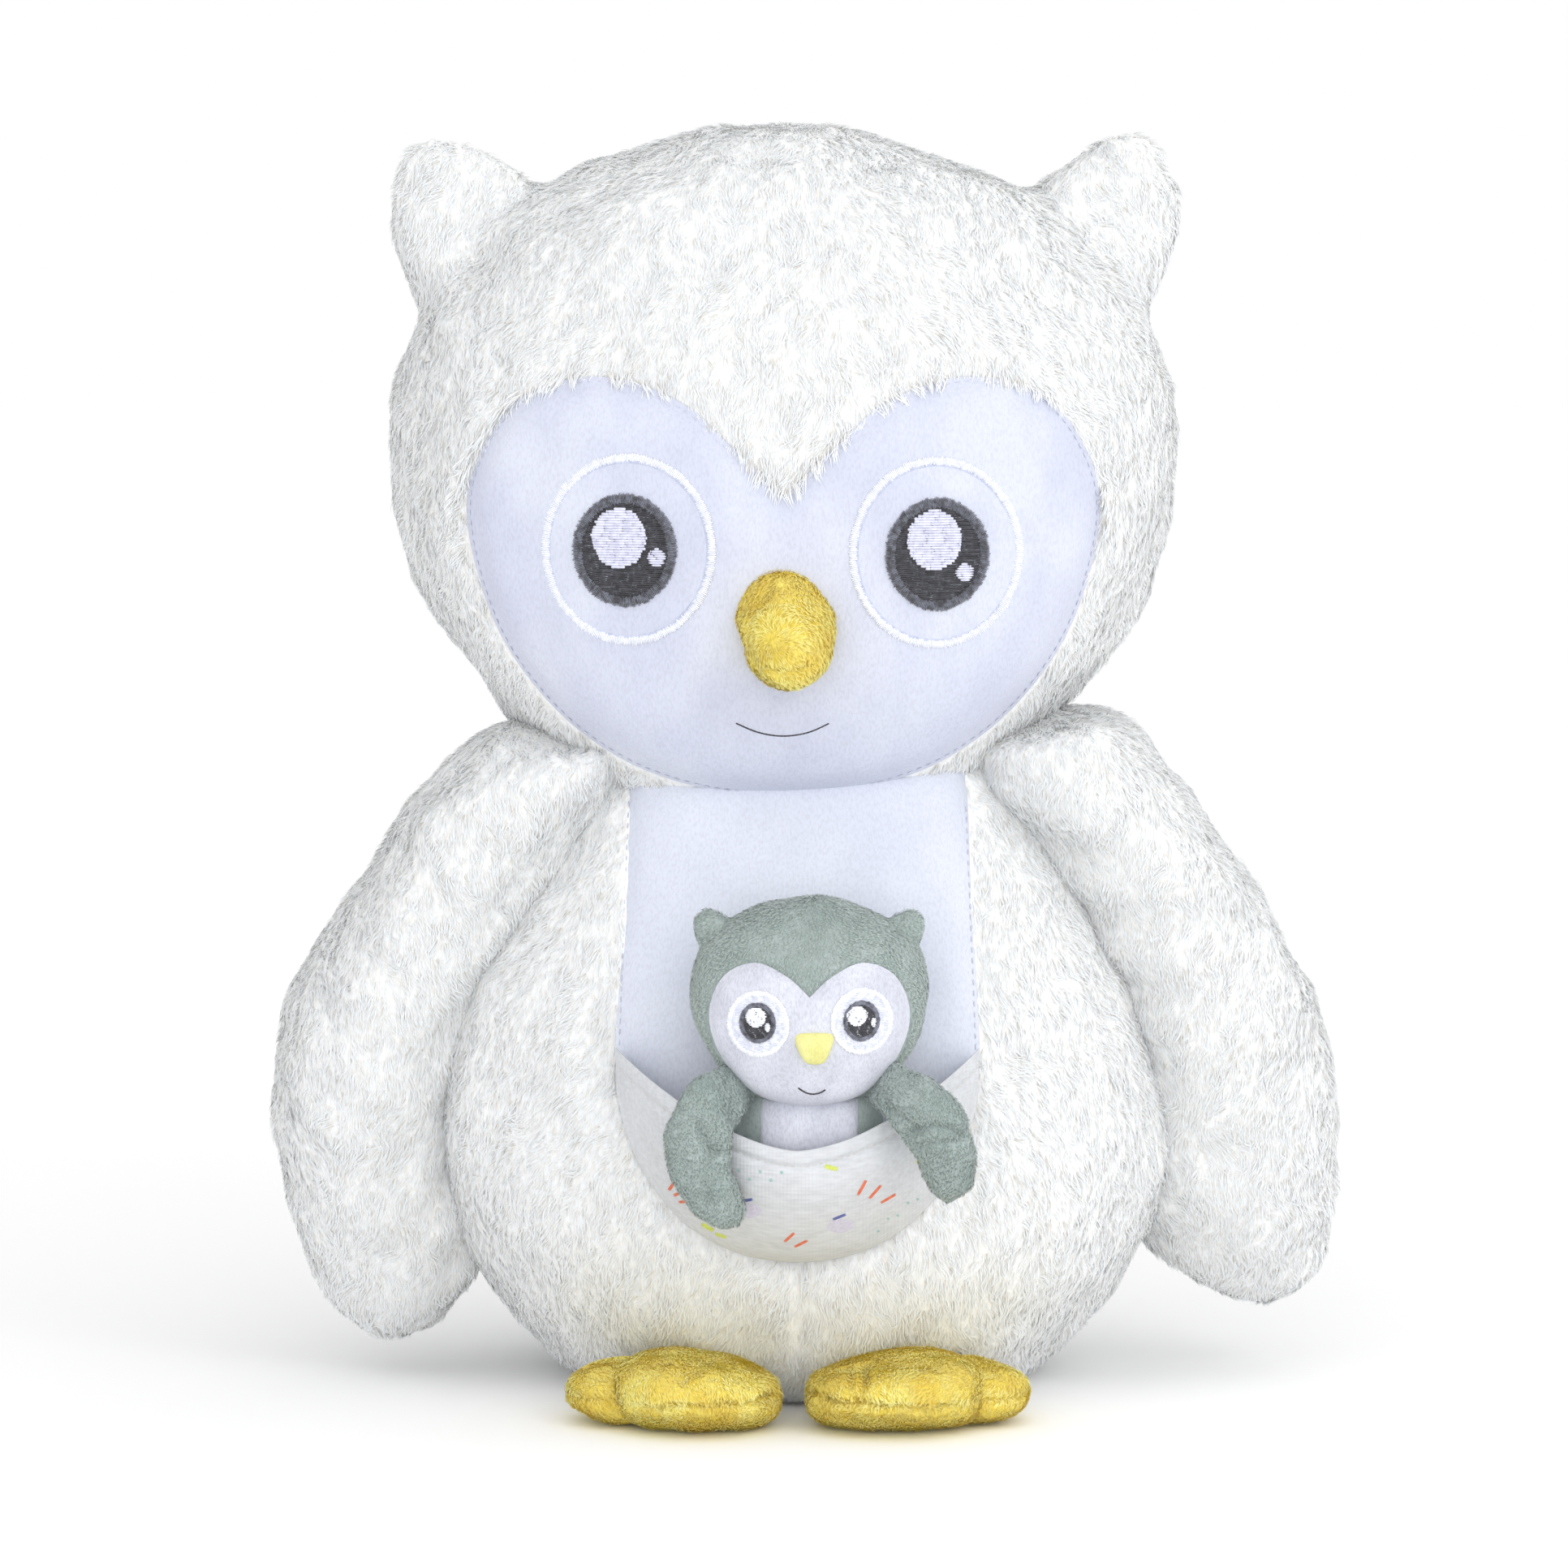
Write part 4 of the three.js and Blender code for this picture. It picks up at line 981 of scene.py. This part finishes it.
beak.v[:, 0] += np.interp(beak.v[:, 2], BEAK_HEIGHTS, BEAK_LEANS)
folds = sum(front_crease(beak.v, *fold) for fold in BEAK_FOLDS)
beak = beak.pushed(-folds + lumps(beak.v * 2.2, 0.35, 51))
add_stuffed("beak_velour", beak, gold_cloth, "mother", ["beak"])


def beak_flow(points):
    """The pile fans out from the dimple at the tip, and runs down elsewhere."""
    fan = ways(points[:, 0] - BEAK_DIMPLE[0], 0.0, points[:, 2] - BEAK_DIMPLE[1])
    near = bell(np.linalg.norm(fan, axis=1, keepdims=True) / 11)
    down = ways(0.5 * np.tanh((points[:, 0] - HEAD_SHIFT) / 10), -0.5, -1.0)
    return unit(fan) * near * 1.6 + down * (1 - near)


lay_fur("beak_pile", beak, 3.4, GOLD, beak_flow, "mother", 401, lambda p: p[:, 1] < -76)

# Feet: a big lobe and a toe at its outer side
FOOT_SPACING = 59
FOOT_REACH = 94
FOOT = (53, 52, 25.5)
TOE = (27, 36, 18.5)
TOE_OUT = 27
TOE_BACK = 10
SOLE_SEAM = 10.5
TOE_TIP = 10.5
FOOT_ROUNDNESS = 2.9
FOOT_FOLDS = {
    "right": [],
    "left": [([(7.3, 26), (14.8, 23.9), (18.2, 19.5), (16.1, 12.8)], 2.0, 1.5, -92),
             ([(5.8, 20.2), (11.9, 21.4), (14.1, 18.5), (13, 15)], 1.0, 1.2, -92)],
}
RIGHT_FOOT_DENT = [[-34, -112, 24], [-37, -117, 19]]
# The feet's pile takes the lighter gold: painted light.
FOOT_PILE_PAINTED_LIGHT = GOLD._replace(cloth=foot_pile_painted_light)


def lobe(size, sides, rings, place):
    """A rounded block of a width, depth and height."""
    level = -np.cos(np.pi * np.arange(17) / 16)
    share = np.clip(1 - np.abs(level) ** FOOT_ROUNDNESS, 0, 1) ** (1 / FOOT_ROUNDNESS)
    rows = [[size[2] / 2 * (1 + h), size[0] / 2 * s, size[1] / 2 * s] for h, s in zip(level, share)]
    rows[0][1:] = rows[-1][1:] = [0, 0]
    return stuffed(rows, sides, rings, 2.2).moved(place)


def foot_flow(points):
    """The pile runs forward over the top, and away from the seam at the front."""
    return ways(0.3 * np.sin(points[:, 0] / 9), -1.0, np.where(points[:, 2] > SOLE_SEAM, -0.9, 0.8))


def foot_lobe(side, sign, foot_x):
    main = lobe(FOOT, 150, 84, [foot_x, -FOOT_REACH, -0.5])
    v = main.v
    inward = (foot_x - v[:, 0]) * sign
    v[:, 2] *= 0.89 - 0.16 * smoothstep(-14, 27, inward)
    v[:, 2] += 4.5 * smoothstep(-98, -120, v[:, 1]) * (1 - v[:, 2] / 23)
    if side == "right":
        v[:, 0] -= 2.4 * smoothstep(0, 27, inward)
    front_side = smoothstep(-88, -104, v[:, 1])
    off_seam = v[:, 2] - (SOLE_SEAM + 0.05 * (v[:, 0] - foot_x) * -sign) - 0.5 * np.sin(v[:, 0] * 0.45)
    dents = 2.2 * bell(off_seam / 1.3) * front_side * smoothstep(-24, -12, inward)
    pucker = 0.5 * np.sin(v[:, 0] * 1.1 + 2 * np.sin(v[:, 0] * 0.3)) * bell(off_seam / 4)
    for fold in FOOT_FOLDS[side]:
        dents += front_crease(v, *fold)
    if side == "right":
        dents += crease(v, RIGHT_FOOT_DENT, 1.0, 3.0)
    return main.pushed(lumps(v * 1.6, 0.5, 61 + sign) - dents - pucker * front_side)


def foot_toe(sign, foot_x):
    toe = lobe(TOE, 90, 56, [foot_x + sign * TOE_OUT, TOE_BACK - FOOT_REACH, -0.5])
    outward = (toe.v[:, 0] - foot_x) * sign - TOE_OUT
    toe.v[:, 2] = TOE_TIP + (toe.v[:, 2] - TOE_TIP) * (1 - 0.3 * smoothstep(-6, 13.5, outward))
    dents = 1.2 * bell((toe.v[:, 2] - 9) / 1.1) * smoothstep(-85, -95, toe.v[:, 1])
    return toe.pushed(lumps(toe.v * 1.6, 0.6, 71 + sign) - dents)


for side, sign in SIDES.items():
    foot_x = BELLY_SHIFT + sign * FOOT_SPACING / 2
    main, toe = foot_lobe(side, sign, foot_x), foot_toe(sign, foot_x)
    for name, form in (("foot_lobe", main), ("foot_toe", toe)):
        form.v[:, 2] = np.maximum(form.v[:, 2], 0)
        add_stuffed(f"{name}_{side}", form, gold_cloth, "mother", [f"foot_{side}"])
    seen = lambda p: (p[:, 2] > 0.6) & (p[:, 1] < -78)
    off_lobe = lambda p: ((p[:, 0] - foot_x) / 26.5) ** 2 + ((p[:, 1] + FOOT_REACH) / 26) ** 2 > 0.8
    piles = [("foot_pile_painted_light", main, 410, seen), ("toe_pile", toe, 420, both(seen, off_lobe))]
    for name, form, seed, keep in piles:
        lay_fur(f"{name}_{side}", form, 3.0, FOOT_PILE_PAINTED_LIGHT, foot_flow, "mother", seed + sign, keep)


# Pouch: a sheet between the seam below and the rim, at places across from -1 to 1 and shares of its height
HEM = 4.9
HEM_GROOVE = 0.9
HEM_DEPTH = 0.9
CLOTH_OUTSIDE = 1.8
CLOTH_INSIDE = 0.5
ACROSS_END = 0.985


def pouch_seam(across):
    return POUCH_CORNER - POUCH_DEPTH * (1 - np.abs(across) ** POUCH_ROUND) ** (1 / POUCH_ROUND)


def pouch_rim(across):
    return POUCH_CORNER - RIM_SAG * (1 - np.abs(across) ** RIM_CURVE)


def pouch_bulge(across, share):
    rise = np.sin(np.clip(share, 0, 1) * np.pi / 2) * (1 - np.abs(across) ** POUCH_FULLNESS)
    return POUCH_STANDOFF * np.maximum(rise, 0) ** POUCH_SWELL


def pouch_point(across, share, lift):
    """Points that stand off the belly by the pouch's bulge and a lift, drawn in at the hem's stitches."""
    x = BELLY_SHIFT + POUCH_HALF * across
    low, high = pouch_seam(across), pouch_rim(across)
    z = low + (high - low) * share
    soft = 0.5 * flat_wobble(x, z, 24, 81) * smoothstep(0, 0.25, share)
    rim_slope = RIM_SAG * RIM_CURVE / POUCH_HALF * np.abs(across) ** (RIM_CURVE - 1)
    hem_depth = (high - z) * np.cos(np.arctan(rim_slope))
    tuck = bell((hem_depth - HEM) / HEM_GROOVE) - 0.5 * smoothstep(HEM, HEM - 1.5, hem_depth)
    y = body_front(x, z) - pouch_bulge(across, share) - lift - soft + tuck * HEM_DEPTH
    return np.stack([x, y, z], 1)


def pouch_sheet(columns, rows, lift):
    across = ACROSS_END * np.sin(np.pi / 2 * (2 * np.arange(columns + 1) / columns - 1))
    a, s = np.meshgrid(across, np.arange(rows + 1) / rows, indexing="ij")
    return pouch_point(a.ravel(), s.ravel(), lift)


def sew_pouch(columns, rows):
    """Both faces of the cotton, closed along the rim and the seam."""
    outer, inner = (pouch_sheet(columns, rows, lift) for lift in (CLOTH_OUTSIDE, CLOTH_INSIDE))
    count, column = len(outer), rows + 1
    c, r = np.meshgrid(np.arange(columns), np.arange(rows), indexing="ij")
    a = (c * column + r).ravel()
    grid = np.stack([a, a + column, a + column + 1, a + 1], 1)
    low = np.arange(columns) * column
    rim = low + rows
    rim_edge = np.stack([rim, rim + column, rim + column + count, rim + count], 1)
    seam_edge = np.stack([low + count, low + count + column, low + column, low], 1)
    quads = np.vstack([grid, grid[:, ::-1] + count, rim_edge, seam_edge])
    obj = add_mesh("pouch_cotton", np.vstack([outer, inner]), [quads])
    dress(obj, pouch_cloth, "mother", ["pouch_front", "pouch_hem"])


def pouch_outside(x, z):
    """The depth of the pouch's outer face at x and height."""
    across = np.clip((x - BELLY_SHIFT) / POUCH_HALF, -ACROSS_END, ACROSS_END)
    low, high = pouch_seam(across), pouch_rim(across)
    return pouch_point(across, np.clip((z - low) / (high - low), 0, 1), CLOTH_OUTSIDE)[:, 1]


pouch_grid = ((180, 90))
sew_pouch(*pouch_grid)
POUCH = (pouch_outside, "mother")
across = np.sin(np.pi / 2 * np.linspace(-0.86, 0.86, 190))
rim_line = np.stack([BELLY_SHIFT + POUCH_HALF * across, pouch_rim(across)], 1)
rim_way = unit(np.gradient(rim_line, axis=0))
hem_line = rim_line + np.stack([rim_way[:, 1], -rim_way[:, 0]], 1) * HEM
stitches("pouch_hem_stitches", dashes(hem_line, 2.1, 1.5, 0.5, 2), 0.4, 0.28, POUCH, 0.02, cream_stitch)


# A print of plain dashes, dots and ovals: a stroke's ends and width, an oval's middle and radii
def dots(start, step, zigzag, dot, width):
    """Five dots in a row, every other one aside."""
    places = [(start[0] + step[0] * i, start[1] + step[1] * i + zigzag * (i % 2)) for i in range(5)]
    return [([(x, z), (x + dot[0], z + dot[1])], width) for x, z in places]


LINE = 0.3
PRINT = {
    "coral": [
        ([(-41, 72), (-38.5, 76.5)], 0.9), ([(-39.5, 70.5), (-35.5, 73.5)], 0.8),
        ([(-38, 68.5), (-33.5, 70)], 0.8), ([(16, 74), (18.5, 79)], 0.9), ([(19.5, 72.5), (23, 76.8)], 0.8),
        ([(23, 70.5), (27.5, 73)], 0.8), ([(-6, 58), (-3, 61.5)], 0.8), ([(-3, 56), (1, 58.5)], 0.8),
    ],
    "lime": [
        ([(-31, 62), (-27.5, 60)], 1.5), ([(-27, 59), (-23.5, 58)], 1.3), ([(34, 82), (37, 85)], 1.5),
        ([(6, 84), (10, 83)], 1.2),
    ],
    "teal": [
        *dots((-20, 82), (3.2, 0), -2.6, (0.8, 0.4), 0.95),
        *dots((22, 60), (3, 2.4), 1.8, (0.7, 0.4), 0.9),
    ],
    "navy": [([(-20.5, 71.5), (-15.5, 73)], 0.9), ([(8.5, 66), (12.5, 67.6)], 0.9)],
}
OVALS = [((-17.5, 69), (4.6, 2.7)), ((11, 63.4), (4.0, 2.5))]
for number, (tint, strokes) in enumerate(PRINT.items()):
    starts, ends = [], []
    for (start, end), width in strokes:
        lines = max(1, round(width / LINE))
        along = unit(np.subtract(end, start))
        for k in range(lines):
            aside = np.array([-along[1], along[0]]) * (k - (lines - 1) / 2) * LINE
            starts.append(np.add(start, aside))
            ends.append(np.add(end, aside))
    stitches(f"print_{tint}", (starts, ends), 0.42, 0.05, POUCH, 0.06, INKS[tint], seed=500 + number)
filled = [fill_stitches(*oval, LINE, 1.6, 0.1, 510 + number) for number, oval in enumerate(OVALS)]
oval_run = [sum(points, []) for points in zip(*filled)]
stitches("print_lavender", oval_run, 0.42, 0.05, POUCH, 0.05, INKS["lavender"], seed=505)

# Baby
BABY_DENTS = [
    ([[4, -112, 161.5], [12, -109, 160.5], [20, -106, 157]], 0.9, 0.9),
    ([[25, -108.5, 155], [29, -108, 152.5], [33, -106, 149]], 1.1, 1.2),
    ([[-23, -108, 154], [-27, -108.5, 151.5], [-32, -106, 149]], 0.9, 1.2),
    ([[6, -121, 151], [14, -121, 150]], 1.2, 5.0),
]
baby_head_front = front_of(BABY_HEAD_ROWS, BABY_HEAD_SQUARE, BABY_SHIFT, BABY_HEAD_Y)
baby_heart = mirrored(BABY_HEART_NOTCH, BABY_HEART_HALF, BABY_SHIFT, 40)
in_baby_face = lambda p: inside(baby_heart, p[:, 0], p[:, 2]) & (p[:, 1] < BABY_HEAD_Y)
baby_head = head_with_ears(stuffed(BABY_HEAD_ROWS, 90, 64, BABY_HEAD_SQUARE), BABY_EAR_ROWS, BABY_SHIFT,
                           BABY_HEAD_Y, 36, 24)
baby_ear_roots = [(BABY_SHIFT + sign * 27, BABY_HEAD_Y, 150) for sign in SIDES.values()]
baby_head = blended(baby_head, 0.75, baby_ear_roots, 8, 22)
away = edge_distance(baby_heart, baby_head.v[:, 0], baby_head.v[:, 2])
dip = 0.8 * bell(away / 1.4) * (baby_head.v[:, 1] < BABY_HEAD_Y)
dents = np.where(in_baby_face(baby_head.v), 0.9, dip) + sum(crease(baby_head.v, *dent) for dent in BABY_DENTS)
baby_head = baby_head.pushed(lumps(baby_head.v * 1.8, 0.5, 91) * smoothstep(0, 4, away) - dents)
add_stuffed("baby_head_velour", baby_head, sage_cloth, "baby",
            ["baby_head", "baby_ear_right", "baby_ear_left"])
lay_fur("baby_head_pile", baby_head, 3.6, SAGE,
        lambda p: ways(0.9 * np.tanh((p[:, 0] - BABY_SHIFT) / 14), 0.0, -0.7), "baby", 431,
        lambda p: ~in_baby_face(p) & (p[:, 2] > 101))
baby_face = panel("baby_face_velour", baby_heart, baby_head_front, 0.9,
                  puffed(0.7, 1.1, 1.8), snow_cloth, "baby", ["baby_face_panel"])

baby_body = stuffed([[z, a, b, BABY_SHIFT, BABY_BACK - b] for z, a, b in BABY_BODY_ROWS], 80, 60)
baby_body = baby_body.pushed(lumps(baby_body.v * 1.8, 0.4, 93))
add_stuffed("baby_body_velour", baby_body, sage_cloth, "baby", ["baby_body"])
BABY_BELLY_HALF = 15.7
BABY_BELLY_LOW, BABY_BELLY_HIGH = 66, 104
corners = [(-1, BABY_BELLY_LOW), (1, BABY_BELLY_LOW), (1, BABY_BELLY_HIGH), (-1, BABY_BELLY_HIGH)]
baby_belly = np.array([[BABY_SHIFT + side * BABY_BELLY_HALF, z] for side, z in corners])
baby_body_front = front_of(BABY_BODY_ROWS, 2, BABY_SHIFT, back=BABY_BACK, steps=400)
panel("baby_belly_velour", baby_belly, baby_body_front, 1.2, puffed(0.6, 0.9, 1.5), snow_cloth, "baby",
      ["baby_belly_panel"])

BABY_EYES = {
    "right": {"disc": (-13.8, 127.3), "iris": (-14.0, 127.8),
              "glint": (-14.5, 129.5), "spark": (-11.0, 126.6)},
    "left": {"disc": (17.1, 128.2), "iris": (17.0, 128.4),
             "glint": (15.7, 130.0), "spark": (20.6, 127.9)},
}
BABY_FACE = (baby_face, "baby")
embroider(BABY_EYES, BABY_FACE, [
    ("baby_disc", "disc", fill_stitches, ((8.8, 9.6), 0.5, 3.2, 0.15), 260, 0.62, 0.35, 0.05,
     disc_stitch, "baby_eye", POINTED),
    ("baby_ring", "disc", ring_stitches, ((8.0, 8.8), (9.2, 10.0), 0.5, 0.04), 265, 0.6, 0.6, 0.1,
     satin_stitch, None, POINTED),
    ("baby_iris", "iris", fill_stitches, ((4.8, 5.5), 0.5, 3.0, 0.15), 270, 0.62, 0.45, 0.35,
     dark_stitch, None, POINTED),
    ("baby_iris_edge", "iris", ring_stitches, ((4.1, 4.8), (5.4, 6.1), 0.45, 0.04), 280, 0.55, 0.55, 0.45,
     grey_stitch, None, POINTED),
    ("baby_glint", "glint", fill_stitches, ((3.1, 3.0), 0.45, 5.5, 0.25), 290, 0.55, 0.5, 0.7,
     satin_stitch, None, POINTED),
    ("baby_spark", "spark", fill_stitches, ((0.9, 1.4), 0.45, 3.0, 0.05), 295, 0.5, 0.5, 0.7,
     satin_stitch, None, POINTED),
])
BABY_MOUTH = [[-1.8, 107.8], [0.2, 106.4], [2.4, 105.8], [4.6, 106.2], [6.2, 107.2]]
stitches("baby_mouth", curved_line(BABY_MOUTH, 12, 0.15), 0.6, 0.35, BABY_FACE, 0.15, dark_stitch)
BABY_BEAK_ROWS = [
    [115.4, 0, 0, 3.2, -127.2], [116.1, 2.6, 1.7, 3.1, -127.3], [117.6, 3.8, 2.9, 3.0, -127.2],
    [119.8, 4.9, 3.8, 2.9, -126.6], [122.2, 5.8, 4.2, 2.9, -125.6], [124.0, 6.1, 3.9, 2.9, -124.9],
    [125.0, 5.3, 2.8, 2.9, -124.6], [125.5, 0, 0, 2.9, -124.4],
]
baby_beak = stuffed(BABY_BEAK_ROWS, 56, 44, 2.5)
add_stuffed("baby_beak_satin", baby_beak, lemon_cloth, "baby", ["baby_beak"])


def limb(rows, sides, rings):
    """A flat limb whose sections stand across a path that bends in the front view."""
    t = np.linspace(0, 1, rings + 1)
    path = curve([row[:3] for row in rows], t)
    sizes = curve([row[3:] for row in rows], t)[1:-1]
    along = unit(np.gradient(path, axis=0))[1:-1]
    across = unit(np.stack([along[:, 2], 0 * along[:, 2], -along[:, 0]], 1))
    turn = np.linspace(0, 2 * math.pi, sides, endpoint=False)
    ring = path[1:-1, None] + across[:, None] * (sizes[:, :1] * np.cos(turn))[..., None]
    ring[..., 1] += sizes[:, 1:] * np.sin(turn)
    points = np.vstack([path[:1], ring.reshape(-1, 3), path[-1:]])
    return stack(points, sides, rings - 1)


# Her wings hang over the rim, the one on her left further out
BABY_WINGS = {
    "right": [
        [-11.5, -101, 109.0, 0, 0], [-16, -106, 108.6, 5.8, 3.6], [-22.5, -115, 106.2, 7.4, 4.4],
        [-28.6, -121.5, 101.0, 8.8, 5.2], [-32, -123.6, 91, 9.9, 6], [-30.6, -122.6, 81, 9.0, 5.7],
        [-25.4, -120.6, 73.4, 7.2, 5], [-21.2, -119.2, 68.6, 4.8, 3.6], [-19.0, -118.4, 65.4, 0, 0],
    ],
    "left": [
        [14.5, -101, 110.4, 0, 0], [19, -106, 110, 5.4, 3.6], [25.4, -115, 107.6, 7.0, 4.4],
        [31.6, -121.5, 103.8, 8.6, 5.2], [38, -123.8, 97.2, 9.9, 6], [42.2, -122.8, 88.6, 8.9, 5.8],
        [43.6, -121, 81, 7.8, 5.2], [43.2, -119.8, 76.4, 5.8, 4.2], [42.7, -118.6, 72.6, 0, 0],
    ],
}
# Two points beside each wing's shoulder seam, which go with the wing's names into dress.
BABY_SHOULDERS = {
    "right": ((-16, -106, 109), (-27, -119, 101)),
    "left": ((18, -106, 110), (29.5, -119, 104)),
}
BABY_FOLDS = {
    "right": [([(-31.5, 97), (-29, 92.8), (-27.6, 90.4), (-24.2, 89.4)], 2.0, 1.6),
              ([(-35, 101), (-29, 103.5), (-22, 102)], 0.9, 2.0), ([(-29.8, 79.5), (-28.6, 75)], 1.0, 1.2),
              ([(-37, 88), (-35, 82)], 0.8, 2.0)],
    "left": [([(30.5, 95), (38.2, 97.8), (43.5, 96.6), (48, 94.2)], 2.3, 1.4),
             ([(33.5, 90.4), (39.8, 92.6), (45.6, 92.4)], 1.5, 1.3),
             ([(22, 104.5), (27.4, 100), (32.3, 97)], 1.5, 1.5), ([(33, 106), (39, 103)], 0.8, 2.4)],
}

for side, sign in SIDES.items():
    wing = limb(BABY_WINGS[side], 84, 96)
    dents = sum(front_crease(wing.v, *fold, -117) for fold in BABY_FOLDS[side])
    wing = wing.pushed(lumps(wing.v * 2.2, 0.7, 95 + sign) - dents)
    start, end = (np.multiply(at, MM).tolist() for at in BABY_SHOULDERS[side])
    bending = ("baby", f"baby_wing_{side}", start, end)
    add_stuffed(f"baby_wing_velour_{side}", wing, sage_cloth, bending, [f"baby_wing_{side}"])
    lay_fur(f"baby_wing_pile_{side}", wing, 3.6, SAGE._replace(cloth=wing_sage_pile_painted_shade),
            lambda p: ways(-0.25 * np.sign(p[:, 0]), 0.0, -1.0), bending, 440 + sign)

# Floor, light and camera
FLOOR_HALF = 6000
FLOOR_Z = -0.3
BRIGHT_SIDE = (0.50, -0.77, 0.40)
MEAN_LIGHT = 0.87
LIGHT_SWING = 0.52
TARGET = Vector((-6.1, 0, 186))
DISTANCE = 2200
ELEVATION = math.radians(6)
SENSOR = 36
FOCAL_PIXELS = 8627.45
PHOTO_PIXELS = 1932

floor_material = Nodes("studio_white", roughness=1.0, specular=0.0)
floor_material.shader.inputs["Base Color"].default_value = (1.0, 1.0, 1.0, 1)
corners = [[x * FLOOR_HALF, y * FLOOR_HALF, FLOOR_Z] for x, y in ((-1, -1), (1, -1), (1, 1), (-1, 1))]
floor = add_mesh("floor", corners, [np.array([[0, 1, 2, 3]])])
floor.data.materials.append(floor_material.material)


def studio_light(tree):
    """A soft box all around: brighter from the front right, plain white where the camera sees it."""
    where = add_node(tree, "ShaderNodeTexCoord").outputs["Generated"]
    toward = add_node(tree, "ShaderNodeVectorMath", {1: BRIGHT_SIDE}, {0: where}, operation="DOT_PRODUCT")
    level = add_node(tree, "ShaderNodeMath", {1: LIGHT_SWING, 2: MEAN_LIGHT}, {0: toward.outputs["Value"]},
                     operation="MULTIPLY_ADD")
    camera_ray = add_node(tree, "ShaderNodeLightPath").outputs["Is Camera Ray"]
    strength = add_node(tree, "ShaderNodeMix", {3: 1.0}, {0: camera_ray, 2: level.outputs[0]})
    background = tree.nodes["Background"]
    background.inputs["Color"].default_value = (1, 1, 1, 1)
    tree.links.new(strength.outputs[0], background.inputs["Strength"])


def aim(name, data, place, target):
    """Puts a lamp or camera at a place, turned to a target."""
    obj = bpy.data.objects.new(name, data)
    obj.location = Vector(place) * MM
    obj.rotation_mode = "QUATERNION"
    obj.rotation_quaternion = (Vector(target) - Vector(place)).to_track_quat("-Z", "Y")
    bpy.context.scene.collection.objects.link(obj)
    return obj


def lamp(name, place, target, size_m, watts):
    light = bpy.data.lights.new(name, "AREA")
    light.shape = "DISK"
    light.size = size_m
    light.energy = watts
    aim(name, light, place, target)


scene = bpy.context.scene
scene.world = bpy.data.worlds.new("studio")
scene.world.use_nodes = True
studio_light(scene.world.node_tree)
lamp("key", (1000, -1200, 1100), (0, 0, 180), 0.6, 2.5)
lamp("fill", (-60, -1700, 160), (0, 0, 100), 1.2, 6.0)
lens = bpy.data.cameras.new("camera")
lens.sensor_width = SENSOR
lens.lens = SENSOR * FOCAL_PIXELS / PHOTO_PIXELS
away = Vector((0, -math.cos(ELEVATION), math.sin(ELEVATION))) * DISTANCE
scene.camera = aim("camera", lens, TARGET + away, TARGET)
scene.view_settings.view_transform = "Standard"
